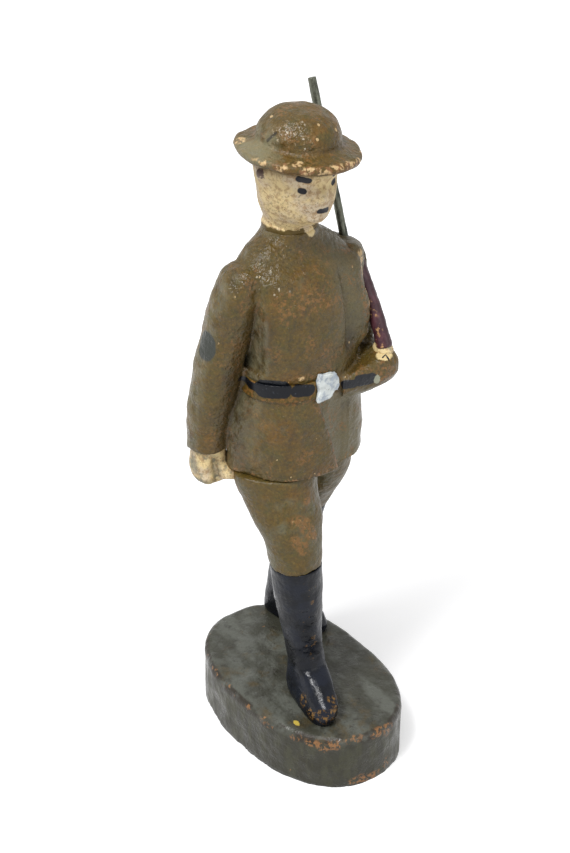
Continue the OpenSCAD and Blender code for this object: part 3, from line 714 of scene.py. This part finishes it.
def breeches_paint():
    paint = Paint("khaki_breeches_paint")
    coat = khaki_coat(paint, 0.25, 0.75)
    # Painted shade, with some dirt, in the breeches' grooves
    coat = paint.wash(coat, KHAKI_DARK, paint.shade_and_dirt_in_hollows(1.3), 0.7)
    knee = [
        ((-4.3, -5.1, 31.7), (0.7, 0.8, 0.55)), ((-3.5, -5.5, 30.9), (0.8, 0.8, 0.9)),
        ((-3.0, -5.7, 30.0), (0.8, 0.8, 0.8)), ((-4.7, -5.6, 29.4), (0.75, 0.8, 0.7)),
        ((-4.2, -5.9, 28.6), (0.7, 0.7, 0.9)), ((-2.5, -5.8, 29.2), (0.4, 0.7, 0.6))]
    coat = worn_spots(paint, coat, knee, tone(126, 90, 46), 0.85, 0.76)
    pale = paint.both(paint.spots(knee, ragged=0.7, size=0.8), paint.patches(0.3, 0.22, 0.1, 3))
    coat = paint.wash(coat, tone(166, 134, 86), pale, 0.7)
    coat = worn_spots(paint, coat, [((-2.8, -4.7, 33.4), (0.5, 0.6, 0.45))], RUBBED, 0.8, 0.8)
    coat = paint.wash(coat, CREAM, paint.specks(1.8, 0.11, 0.07, 13), 0.7)
    khaki_relief(paint)
    return paint.finish(coat, paint.sheen(2.2, 0.48, 0.34, 0.36, 0.68), 0.35)


def helmet_paint():
    paint = Paint("khaki_helmet_paint")
    coat = khaki_coat(paint, 0.75, 0.15)
    coat = rubbed_through(paint, coat, 1.8, 0.4, 17, 0.6)
    # Painted shade, with some dirt, where the crown meets the brim
    coat = paint.wash(coat, KHAKI_DARK, paint.shade_and_dirt_in_hollows(1.0), 0.65)
    # Painted rim light on the helmet's side that faces -x
    coat = rim_lit_side(paint, coat, 0.5)
    # Painted rim light on the brim and crown at -x
    coat = paint.wash(coat, tone(146, 140, 110),
                      paint.spot((-5.5, 0.6, 71.9), (1.3, 3.4, 0.9), ragged=0.5, edge=0.5), 0.6)
    # Scuffed, flaking paint on the crown, with a painted glint over it
    scuff_and_glint = paint.spots([((-2.7, -2.2, 73.7), (1.3, 1.3, 1.1)), ((-2.4, -3.1, 72.8), (1.0, 0.9, 1.0)),
                         ((-3.9, -0.9, 73.4), (0.5, 0.8, 0.8)), ((-4.4, -0.9, 72.4), (0.4, 0.5, 0.3))],
                        ragged=0.6, edge=0.4, size=0.7)
    flakes = paint.both(scuff_and_glint, paint.patches(0.3, 0.34, 0.08, 19, 3, 0.65))
    coat = paint.wash(coat, tone(176, 156, 126), flakes, 0.6)
    scratch = paint.stroke([(-4.5, -0.1, 72.7), (-4.3, -0.4, 73.0), (-3.9, -0.8, 73.55)], 0.15, 0.7, 0.5)
    coat = paint.wash(coat, INK, scratch, 0.7)
    brim_rows = [
        ((-5.1, 3.4, 71.7), (0.7, 0.8, 0.3)), ((-6.1, -0.2, 71.4), (0.45, 0.9, 0.3)),
        ((-5.9, -1.6, 71.3), (0.5, 0.5, 0.3)), ((-5.0, -3.2, 71.1), (1.0, 0.7, 0.35)),
        ((-3.6, -3.9, 71.3), (0.6, 0.5, 0.3)), ((-3.2, -4.9, 70.8), (0.9, 0.5, 0.4)),
        ((-1.9, -5.4, 70.7), (0.9, 0.5, 0.35)), ((-0.4, -5.5, 70.6), (1.0, 0.5, 0.4)),
        ((1.4, -5.3, 70.5), (1.0, 0.5, 0.35)), ((3.0, -4.7, 70.3), (0.7, 0.6, 0.35)),
        ((4.6, -3.2, 70.2), (0.6, 0.7, 0.3))]
    bare = paint.spots(brim_rows, ragged=0.6, edge=0.2, size=0.7)
    coat = paint.wash(coat, tone(150, 104, 70), paint.both(bare, paint.patches(0.7, 0.75, 0.15, 8)), 0.7)
    coat = paint.wash(coat, CREAM, paint.both(bare, paint.patches(0.6, 0.6, 0.1, 5)), 0.85)
    around = paint.both(paint.edges(), paint.patches(0.9, 0.2, 0.06, 5, 4))
    coat = paint.wash(coat, CLAY, around, 0.7)
    chips = paint.spots([((-1.0, -3.5, 73.1), (0.15, 0.3, 0.15)), ((-3.1, 1.1, 74.5), (0.16, 0.2, 0.16)),
                         ((-0.3, -2.8, 74.2), (0.14, 0.2, 0.14)), ((1.7, -2.9, 73.3), (0.14, 0.2, 0.2))],
                        ragged=0.4, size=0.4)
    coat = paint.wash(coat, CREAM, paint.either(chips, paint.specks(1.5, 0.08, 0.12, 23)), 0.75)
    gloss = paint.sheen(1.8, 0.5, 0.34, 0.36, 0.66)
    # Painted glints in the scuffed place on the crown
    coat = painted_glint_flecks(paint, coat, scuff_and_glint)
    gloss = paint.sum("SUBTRACT", gloss, paint.sum("MULTIPLY", scuff_and_glint, 0.2))
    khaki_relief(paint, 0.2)
    return paint.finish(coat, gloss, 0.35)


def neck_drip(paint):
    """The drip of flesh paint on the collar."""
    return paint.stroke([(-0.3, -0.9, 63.2), (0.3, -1.0, 62.3)], 0.5, 0.5, 0.2)


def flesh_coat(paint, dirt):
    coat = paint.mix(FLESH, FLESH_PALE, paint.clouds(0.42, 0.64, 2.4))
    # Painted shade, with some grime, in the grooves of the face and hands
    coat = paint.wash(coat, GRIME_AND_SHADE, paint.shade_and_dirt_in_hollows(0.8), 0.6)
    coat = paint.wash(coat, tone(168, 134, 94), paint.clouds(0.46, 0.62, 0.55, 4, 4, 0.7), 0.75)
    coat = paint.wash(coat, GRIME_AND_SHADE, paint.both(paint.specks(0.3, 0.06, 0.6, 8), dirt), 0.6)
    return paint.wash(coat, GRIME_AND_SHADE, paint.both(paint.patches(0.3, 0.42, 0.16, 12, 4, 0.7), dirt), 0.65)


def face_paint():
    paint = Paint("flesh_face_paint")
    dirt = paint.both(paint.along("Z", 68.4, 66.6, 0.8, 1.5), paint.along("X", 0.3, -1.2, 0.7, 1.5))
    stain = paint.both(paint.clouds(0.54, 0.64, 1.4, 12), paint.along("X", 1.2, -1.6, 0.8, 1.4))
    dirt = paint.either(dirt, stain)
    coat = flesh_coat(paint, dirt)
    # Brown patches of painted shade on the side of the face at -x, under the brim
    cheek_shade = paint.both(paint.along("X", -2.6, -4.2, 0.8, 1.2), paint.patches(0.6, 0.5, 0.3, 20))
    coat = paint.wash(coat, tone(150, 118, 84), cheek_shade, 0.65)
    # Painted shadow of the brim across the top of the face
    coat = paint.wash(coat, tone(150, 132, 108), paint.along("Z", 69.3, 70.0, 0.3), 0.6)
    # Painted shade along the side of the nose
    nose_shade = paint.stroke([(0.0, -4.4, 68.0), (0.1, -4.6, 66.9), (0.2, -4.0, 66.5)], 0.2, 0.5)
    coat = paint.wash(coat, tone(140, 92, 56), nose_shade, 0.6)
    temple = paint.spots([((-5.1, 0.3, 69.4), (0.6, 0.7, 0.5)), ((4.3, 0.6, 69.0), (0.6, 0.7, 0.5))],
                         ragged=0.8, size=0.5)
    hair = paint.spot((MID_X, 5.2, 70.2), (4.4, 4.2, 4.0), ragged=0.22, edge=0.08)
    coat = paint.wash(coat, PLUM, paint.either(temple, hair), 0.85)
    for side in (-1, 1):
        brow = [(MID_X + side * 2.45, -2.9, 69.35), (MID_X + side * 1.55, -3.5, 69.05)]
        eye = [(MID_X + side * 2.1, -2.75, 68.0), (MID_X + side * 1.85, -3.05, 67.9)]
        coat = paint.wash(coat, INK, paint.stroke(brow, 0.3, 0.2, flat=FACE_FLAT))
        coat = paint.wash(coat, INK, paint.stroke(eye, 0.29, 0.3, flat=FACE_FLAT))
    mouth = paint.stroke([(-0.6, -3.5, 65.6), (0.4, -3.4, 65.5)], 0.29, 0.3, flat=FACE_FLAT)
    coat = paint.wash(coat, INK, mouth)
    collar = paint.both(paint.along("Z", 62.95, 62.75, 0.35, 0.7), paint.ramp(neck_drip(paint), 1, 0))
    coat = paint.wash(coat, KHAKI, collar)
    paint.relief((1.0, 0.06), (0.25, 0.03))
    return paint.finish(coat, paint.sheen(1.6, 0.62, 0.48), 0.3)


def hand_paint():
    paint = Paint("flesh_hand_paint")
    coat = flesh_coat(paint, paint.clouds(0.5, 0.62, 1.1, 12))
    grimy = paint.both(paint.clouds(0.46, 0.58, 1.3, 6), paint.clouds(0.42, 0.6, 0.35, 16))
    coat = paint.wash(coat, DIRT_AND_SHADE, grimy, 0.6)
    # Painted shade, with some dirt, in the hands' grooves
    coat = paint.wash(coat, DIRT_AND_SHADE, paint.shade_and_dirt_in_hollows(0.9), 0.8)
    coat = paint.wash(coat, INK, finger_mark(paint))
    grubby = [
        ((-9.5, 2.3, 36.2), (0.4, 0.6, 1.3)), ((-11.6, 4.0, 36.8), (0.5, 0.8, 1.2)),
        ((-10.6, 3.4, 34.8), (1.2, 1.0, 0.4))]
    coat = paint.wash(coat, DIRT_AND_SHADE, paint.spots(grubby, ragged=0.9, edge=0.6, size=0.6), 0.7)
    paint.relief((0.9, 0.07), (0.25, 0.03))
    return paint.finish(coat, paint.sheen(1.6, 0.58, 0.44), 0.3)


def boot_paint():
    paint = Paint("black_boot_paint")
    coat = paint.mix(NAVY, tone(19, 24, 36), paint.clouds(0.42, 0.66, 2.8))
    laces = paint.stroke([(-3.4, -6.3, 24), (-3.3, -6.0, 20), (-2.8, -5.7, 16.2), (-2.5, -5.6, 13.6)], 0.75,
                         0.3, 0.3)
    coat = paint.wash(coat, tone(110, 84, 50), paint.both(laces, paint.patches(0.7, 0.2, 0.08, 4)), 0.75)
    toe = [
        ((-4.2, -9.9, 8.2), (1.0, 1.0, 0.7)), ((-3.3, -10.4, 8.4), (1.0, 0.8, 0.6)),
        ((-2.6, -9.5, 9.3), (0.6, 0.9, 0.5)), ((-4.9, -8.6, 8.0), (0.5, 0.8, 0.6)),
        ((-4.6, -6.6, 8.6), (0.5, 0.7, 0.8)), ((-1.6, -8.4, 8.6), (0.6, 1.2, 0.8))]
    coat = worn_spots(paint, coat, toe, tone(132, 98, 48), 0.85, 0.55)
    coat = paint.wash(coat, tone(150, 120, 84), paint.specks(1.6, 0.12, 0.14, 15), 0.8)
    coat = paint.wash(coat, tone(70, 74, 74),
                      paint.both(paint.along("Z", 24.3, 24.8, 0.2), paint.patches(0.8, 0.3, 0.1, 2)), 0.5)
    paint.relief((1.6, 0.16), (0.4, 0.03))
    return paint.finish(coat, paint.sheen(1.7, 0.36, 0.22), 0.24)


def base_paint():
    paint = Paint("dark_base_paint")
    coat = paint.mix(tone(58, 58, 48), tone(92, 94, 86),
                     paint.clouds(0.4, 0.6, 3.4, 2, 4, 0.62, (1, 0.5, 1)))
    coat = paint.wash(coat, tone(80, 68, 42), paint.clouds(0.52, 0.72, 2.2, 6, 4, 0.65), 0.7)
    coat = paint.wash(coat, tone(38, 34, 26), paint.clouds(0.52, 0.7, 1.2, 9, 4, 0.62), 0.6)
    # Painted shade: the base's sides darker than its top
    coat = paint.wash(coat, tone(46, 44, 31), paint.along("Z", 6.5, 5.6, 0.2), 0.9)
    streaks = paint.both(paint.clouds(0.45, 0.62, 1.3, 36, 4, 0.65, (1, 1, 0.35)),
                         paint.along("Z", 6.4, 5.6, 0.3))
    coat = paint.wash(coat, tone(72, 72, 52), streaks, 0.5)
    coat = paint.wash(coat, tone(34, 32, 28), paint.specks(0.6, 0.1, 0.3, 19), 0.5)
    rim = paint.both(paint.along("Z", 5.5, 6.1, 0.4, 1.0), paint.facing((0, 0, 1), 0.97, 0.8))
    coat = paint.wash(coat, tone(38, 29, 17), paint.both(rim, paint.clouds(0.4, 0.56, 2.0, 1, 4)), 0.85)
    chips = paint.both(paint.patches(1.6, 0.34, 0.1, 33), paint.patches(0.5, 0.34, 0.06, 12, 3, 0.65))
    coat = paint.wash(coat, CLAY, paint.both(rim, chips), 0.85)
    front = [
        ((-7.4, -8.9, 6.0), (0.5, 0.6, 0.35)), ((-6.3, -10.7, 6.0), (0.8, 0.8, 0.45)),
        ((-5.4, -11.8, 5.8), (0.9, 0.8, 0.7)), ((-4.4, -12.5, 6.0), (0.9, 0.7, 0.6)),
        ((-2.6, -13.3, 6.4), (1.2, 0.6, 0.4)), ((0.6, -13.8, 6.3), (1.0, 0.6, 0.5)),
        ((1.9, -13.7, 6.0), (0.9, 0.6, 0.75)), ((-8.8, -1.9, 6.4), (0.35, 0.5, 0.25)),
        ((-8.6, -5.2, 5.9), (0.4, 0.5, 0.3)), ((-2.0, -13.8, 0.7), (1.4, 0.6, 0.6)),
        ((2.0, -13.8, 1.2), (0.7, 0.6, 0.8)), ((-0.4, -14.0, 0.5), (1.4, 0.6, 0.5))]
    coat = worn_spots(paint, coat, front, tone(150, 106, 64), 0.9, 0.55)
    coat = paint.wash(coat, CLAY, paint.specks(2.2, 0.13, 0.1, 27), 0.7)
    coat = paint.wash(coat, tone(200, 176, 78),
                      paint.spot((-6.3, -7.8, 6.9), (0.3, 0.5, 0.4), ragged=0.5, size=0.4))
    paint.relief((1.6, 0.22, 4), (0.35, 0.05))
    return paint.finish(coat, paint.sheen(2.4, 0.48, 0.26, 0.38, 0.64), 0.35)


def belt_paint():
    paint = Paint("black_belt_paint")
    coat = rubbed_through(paint, khaki_coat(paint, 0.7, 0.1), 1.2, 0.7, 2, 0.8)
    black = paint.either(belt_lozenges(paint), paint.along("Y", 1.4, 2.0, 0.4, 0.9))
    coat = paint.wash(coat, NAVY, black)
    coat = paint.wash(coat, NAVY_WORN, paint.both(paint.patches(0.5, 0.14, 0.1, 14), black), 0.7)
    paint.relief((1.0, 0.08), (0.3, 0.03))
    return paint.finish(coat, paint.sheen(1.2, 0.4, 0.28), 0.22)


def buckle_paint():
    paint = Paint("silver_buckle_paint")
    coat = paint.mix(SILVER, tone(172, 182, 192), paint.clouds(0.45, 0.62, 0.8))
    coat = paint.wash(coat, tone(120, 112, 96), paint.patches(0.4, 0.1, 0.1, 3), 0.7)
    paint.relief((0.6, 0.08))
    return paint.finish(coat, paint.sheen(0.7, 0.5, 0.32), 0.5)


def stock_paint():
    paint = Paint("maroon_stock_paint")
    coat = paint.mix(tone(58, 28, 36), tone(80, 44, 52), paint.clouds(0.44, 0.64, 1.2))
    side = paint.facing((-0.86, -0.5, 0), 0.5, 0.95)
    chips = paint.both(paint.patches(1.3, 0.5, 0.1, 41), paint.patches(0.4, 0.45, 0.08, 6, 3, 0.62))
    coat = paint.wash(coat, tone(204, 158, 106), paint.both(side, chips), 0.9)
    coat = paint.wash(coat, tone(150, 104, 84), paint.specks(0.9, 0.11, 0.2, 3), 0.7)
    paint.relief((0.9, 0.08), (0.25, 0.03))
    return paint.finish(coat, paint.sheen(1.1, 0.44, 0.3), 0.4)


def wire_steel():
    paint = Paint("tarnished_wire_steel")
    coat = paint.mix(tone(100, 102, 90), tone(50, 51, 44),
                     paint.patches(0.7, 0.55, 0.2, 3, 4, 0.65, (1, 1, 0.25)))
    coat = paint.wash(coat, tone(84, 58, 40), paint.patches(0.6, 0.12, 0.1, 8, 4), 0.6)
    paint.relief((0.35, 0.05))
    paint.shader.inputs["Metallic"].default_value = 0.7
    return paint.finish(coat, paint.sheen(0.8, 0.5, 0.34))


# Pressed and painted pieces


def slant_flap(piece):
    """Trims the skirt's front flap back to its slanting free edge."""
    places = places_of(piece)
    x, y, z = places.T
    edge = np.interp(z, FLAP_EDGE_Z, FLAP_EDGE_X)
    low_share = np.clip((FLAP_FADE_Z - z) / FLAP_FADE, 0, 1)
    side_share = np.clip((FLAP_END_X - x) / FLAP_END, 0, 1)
    depth = FLAP_STEP * low_share * side_share * eased(x - edge, *FLAP_SOFT)
    places[:, 1] += np.where(y < 0, depth, 0)
    put_places(piece, places)


def make_uniform():
    side = [(-7.4, 1.8, 42.4), (-7.5, 2.0, 36.6)]
    piece = moulding("uniform",
                     ["tunic_front", "tunic_back", "collar", "right_sleeve", "left_sleeve", "left_forearm"],
                     0.18, [*LEG_WIRES, "right_arm_wire", "left_arm_wire"], (HEM, ABOVE), 4,
                     [("tunic_front", side, 2.0, (-0.9, 0, 0)), ("tunic_back", side, 2.0, (-0.9, 0, 0)),
                      ("right_sleeve", [(-7.9, 0.4, 44.0), (-8.0, 1.0, 38.0)], 1.1, (-0.6, 0.3, 0)),
                      ("right_sleeve", [(-6.2, -0.8, 57.0), (-6.6, 0.0, 52.0), (-7.6, 1.6, 46.0)], 1.2,
                       (0.6, 0, 0))])
    slant_flap(piece)
    rub(piece, [((-7.0, 1.4, 60.2), 1.8), ((6.4, 1.4, 59.8), 1.8), ((1.6, -4.9, 46.6), 1.0),
                ((MID_X, 1.8, 61.8), 3.6),
                ([(-6.3, -1.9, 59.0), (-6.6, -2.1, 53.0), (-7.8, 0.2, 46.0), (-8.4, 1.2, 38.0)], 0.9)],
        times=50)
    push(piece, (-7.6, 1.2, 59.6), 1.6, (-0.4, 0, 0.12))
    push(piece, [(6.4, -2.4, 53.4), (6.8, -2.8, 49.6)], 1.2, (1.2, -0.2, 0))
    push(piece, [(6.9, -1.4, 36.2), (7.0, 1.0, 36.2)], 1.6, (-0.2, 0, 0.8))
    knead(piece, [([(-0.7, -4.9, 44.2), (0.4, -5.2, 41.0), (1.8, -5.0, 36.4)], 0.5, -0.3),
                  ([(1.6, -4.6, 43.5), (2.8, -4.6, 37.0)], 1.5, -0.35),
                  ([(-2.9, -5.2, 44.4), (-2.3, -5.7, 36.6)], 0.7, -0.07),
                  ([(3.2, -3.4, 58.0), (3.3, -4.3, 54.0), (3.2, -4.5, 50.5)], 0.8, -0.75),
                  ([(5.5, -1.4, 58.2), (5.5, -2.4, 54.0), (5.7, -3.0, 50.5)], 1.3, 0.95),
                  ([(-6.1, 1.4, 60.8)], 0.8, 0.2), ([(-7.4, 1.2, 60.3)], 0.7, 0.25),
                  ([(-6.9, -1.8, 55.0), (-7.2, -1.6, 52.0), (-7.8, 0.2, 46.0)], 0.55, -0.3)])
    unevenness(piece, (3.5, 0.14), (1.3, 0.08), (0.6, 0.025))
    settle(piece, uniform_paint(), "tunic_front", "khaki_paint", "tunic_back", "collar", "right_sleeve",
           "left_sleeve", "left_forearm")


def make_breeches():
    pushes = [("right_breeches", (-7.0, 0.6, 35.4), 2.2, (-0.9, 0, 0)),
              ("left_breeches", [(5.2, -1.0, HEM), (5.2, 3.4, HEM)], 2.6, (0.1, 0, 1.5))]
    piece = moulding("breeches", ["right_breeches", "left_breeches"], 0.2, LEG_WIRES, (BOOT_TOP, HEM), 5,
                     pushes, trailing=True)
    unevenness(piece, (3.0, 0.12), (1.2, 0.06))
    settle(piece, breeches_paint(), "right_breeches", "khaki_paint", "left_breeches")


def make_boots():
    paint = boot_paint()
    for side in ("right", "left"):
        piece = moulding(side + "_tall_boot", [side + "_boot"], 0.15, [side + "_leg_wire"],
                         (DECK, BOOT_TOP), 4, trailing=True)
        keep_on_base(piece)
        unevenness(piece, (2.0, 0.07), (0.8, 0.02))
        settle(piece, paint, side + "_boot", "boot_paint")


def make_head():
    piece = moulding("face_and_neck", ["head"], 0.11, ["spine_wire"], (NECK, ABOVE), 6)
    ring = [(x, y, 62.7) for x, y in oval(MID_X, 1.7, 2.3, 2.3, 25)]
    knead(piece, [(ring, 1.0, 0.6), ([(-4.4, 0.6, 66.8), (-3.2, 2.6, 65.0)], 1.2, 0.25),
                  ([(-5.2, 0.4, 69.3)], 0.5, 0.12)])
    unevenness(piece, (1.6, 0.08), (0.5, 0.02))
    settle(piece, face_paint(), "head", "flesh_paint")


def make_helmet():
    piece = moulding("brimmed_helmet", ["helmet"], 0.12, smooth=3)
    low, high = (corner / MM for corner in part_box("helmet"))
    middle, half = (low + high) / 2, (high - low) / 2
    for share, level, width, rise in ((RIM_SHARE, RIM_Z, 0.55, 0.2), (FOOT_SHARE, FOOT_Z, 0.6, -0.16)):
        ring = [(x, y, level + HELMET_TILT[0] * x + HELMET_TILT[1] * y)
                for x, y in oval(middle.x, middle.y, share * half.x, share * half.y, 41)]
        knead(piece, [(ring, width, rise)])
    unevenness(piece, (2.6, 0.14), (0.9, 0.04))
    settle(piece, helmet_paint(), "helmet", "helmet_paint")


def make_hands():
    paint = hand_paint()
    right = moulding("right_fist", ["right_hand"], 0.1, ["right_arm_wire"], (0, CUFF), 6)
    push(right, (-8.0, 1.6, 35.8), 1.0, (0.6, -0.3, 0.1))
    push(right, (-8.6, 2.0, 34.4), 0.9, (0, 0, 0.5))
    knead(right, [([(-10.9, 3.0, 36.8)], 1.0, 0.2), ([(-9.7, 2.2, 37.2), (-9.4, 2.2, 34.6)], 0.45, -0.65),
                  ([(-8.4, 1.9, 36.0)], 0.6, 0.15)])
    unevenness(right, (1.3, 0.1))
    left = moulding("left_fist", ["left_hand"], 0.08, smooth=5)
    places = places_of(left)
    low = places[:, 2].min()
    outer = places[:, 0].max()
    places[:, 0] = outer - FIST_WIDTH_SHARE * (outer - places[:, 0])
    places[:, 2] = low + FIST_HEIGHT_SHARE * (places[:, 2] - low) - FIST_SINK
    put_places(left, places)
    unevenness(left, (0.9, 0.06))
    for piece, node in ((right, "right_hand"), (left, "left_hand")):
        settle(piece, paint, node, "flesh_paint")


def make_belt():
    belt = moulding("waist_belt", ["belt"], 0.1, smooth=3)
    push(belt, (-7.3, 1.3, 47.0), 1.3, (0.45, 0, 0))
    unevenness(belt, (1.2, 0.04))
    settle(belt, belt_paint(), "belt", "belt_paint")
    buckle = moulding("belt_buckle", ["buckle"], 0.08, smooth=6)
    for centre, width, shift in (((0.9, -5.0, 45.1), 0.8, (-0.3, 0, 0.8)),
                                 ((0.9, -5.0, 48.1), 0.7, (-0.35, 0, -0.25)),
                                 ((-1.78, -5.0, 46.5), 0.6, (0.4, 0, 0)),
                                 ((-1.78, -5.0, 48.1), 0.7, (0.4, 0, 0.25))):
        push(buckle, centre, width, shift)
    unevenness(buckle, (0.9, 0.08))
    settle(buckle, buckle_paint(), "buckle", "silver_paint")


def make_rifle():
    stock = moulding("shouldered_stock", ["rifle_stock"], 0.1, smooth=8)
    push(stock, (7.0, -1.2, 58.2), 4.0, (-0.4, 0.25, 0))
    knead(stock, [([(7.0, -1.2, 58.2), (8.0, -4.6, 49.0)], 4.0, 0.14)])
    unevenness(stock, (1.1, 0.09))
    settle(stock, stock_paint(), "rifle_stock", "stock_paint")
    steel = wire_steel()
    barrel = moulding("wire_barrel", ["rifle_barrel"], 0.09, smooth=3)
    unevenness(barrel, (1.2, 0.04))
    settle(barrel, steel, "rifle_barrel", "bare_steel")
    for limb in ("right_leg", "spine", "right_arm", "left_arm"):
        inner_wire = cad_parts[limb + "_wire"]
        inner_wire.data.materials.clear()
        inner_wire.data.materials.append(steel)
    trailing_wire = copy_of("left_leg_wire")
    trailing_wire.name = "trailing_leg_wire"
    trail(trailing_wire)
    settle(trailing_wire, steel, "left_leg_wire", "bare_steel")


def make_base():
    piece = moulding("oval_base", ["base"], 0.2, LEG_WIRES, (0, DECK), 5)
    unevenness(piece, (5.0, 0.14), (1.6, 0.05))
    places = places_of(piece)
    places[:, 2] = np.where(places[:, 2] < BASE_FLAT, 0, places[:, 2])
    put_places(piece, places)
    settle(piece, base_paint(), "base", "base_paint")


# Camera, floor and light


def make_camera():
    data = bpy.data.cameras.new("photo_camera")
    data.lens = CAMERA_LENS
    data.sensor_width = SENSOR
    data.clip_start = 0.005
    data.clip_end = 20
    camera = bpy.data.objects.new("photo_camera", data)
    scene.collection.objects.link(camera)
    camera.location = Vector(CAMERA_PLACE) * MM
    aim = Vector(CAMERA_AIM) * MM
    camera.rotation_euler = (aim - camera.location).to_track_quat("-Z", "Y").to_euler()
    scene.camera = camera


def backdrop_rays(tree):
    """1 for rays that see the backdrop itself: from the camera, off a gloss or through glass."""
    path = tree.nodes.new("ShaderNodeLightPath")
    seen = path.outputs["Is Camera Ray"]
    for kind in ("Is Glossy Ray", "Is Transmission Ray"):
        node = tree.nodes.new("ShaderNodeMath")
        node.operation = "MAXIMUM"
        tree.links.new(seen, node.inputs[0])
        tree.links.new(path.outputs[kind], node.inputs[1])
        seen = node.outputs[0]
    return seen


def make_floor():
    bpy.ops.object.select_all(action="DESELECT")
    bpy.ops.mesh.primitive_plane_add(size=3, location=(0, 0, 0))
    floor = bpy.context.object
    floor.name = "studio_floor"
    material = bpy.data.materials.new("studio_floor_paper")
    material.use_nodes = True
    shader = material.node_tree.nodes["Principled BSDF"]
    shader.inputs["Base Color"].default_value = FLOOR_COLOUR
    shader.inputs["Roughness"].default_value = 0.9
    shader.inputs["Specular IOR Level"].default_value = 0
    shader.inputs["Emission Color"].default_value = (1, 1, 1, 1)
    tree = material.node_tree
    away = tree.nodes.new("ShaderNodeVectorMath")
    away.operation = "LENGTH"
    tree.links.new(tree.nodes.new("ShaderNodeTexCoord").outputs["Object"], away.inputs[0])
    white = tree.nodes.new("ShaderNodeMapRange")
    tree.links.new(away.outputs["Value"], white.inputs["Value"])
    for name, value in FLOOR_GLOW:
        white.inputs[name].default_value = value
    glow = tree.nodes.new("ShaderNodeMath")
    glow.operation = "MULTIPLY"
    tree.links.new(backdrop_rays(tree), glow.inputs[0])
    tree.links.new(white.outputs["Result"], glow.inputs[1])
    tree.links.new(glow.outputs[0], shader.inputs["Emission Strength"])
    floor.data.materials.append(material)


def make_light():
    world = bpy.data.worlds.new("studio_world")
    scene.world = world
    world.use_nodes = True
    tree = world.node_tree
    tree.nodes["Background"].inputs["Color"].default_value = (1, 1, 1, 1)
    strength = tree.nodes.new("ShaderNodeMapRange")
    tree.links.new(backdrop_rays(tree), strength.inputs["Value"])
    strength.inputs["To Min"].default_value = WORLD_LIGHT
    strength.inputs["To Max"].default_value = WORLD_BACKDROP
    tree.links.new(strength.outputs["Result"], tree.nodes["Background"].inputs["Strength"])
    for name, place, size, power in LAMPS:
        data = bpy.data.lights.new(name, "AREA")
        data.shape = "DISK"
        data.size = size
        data.energy = power
        light = bpy.data.objects.new(name, data)
        scene.collection.objects.link(light)
        light.location = place
        light.rotation_euler = (Vector(LAMP_AIM) - light.location).to_track_quat("-Z", "Y").to_euler()


scene.view_settings.view_transform = "Standard"
make_camera()
make_floor()
make_light()
make_uniform()
make_breeches()
make_boots()
make_head()
make_helmet()
make_hands()
make_belt()
make_rifle()
make_base()
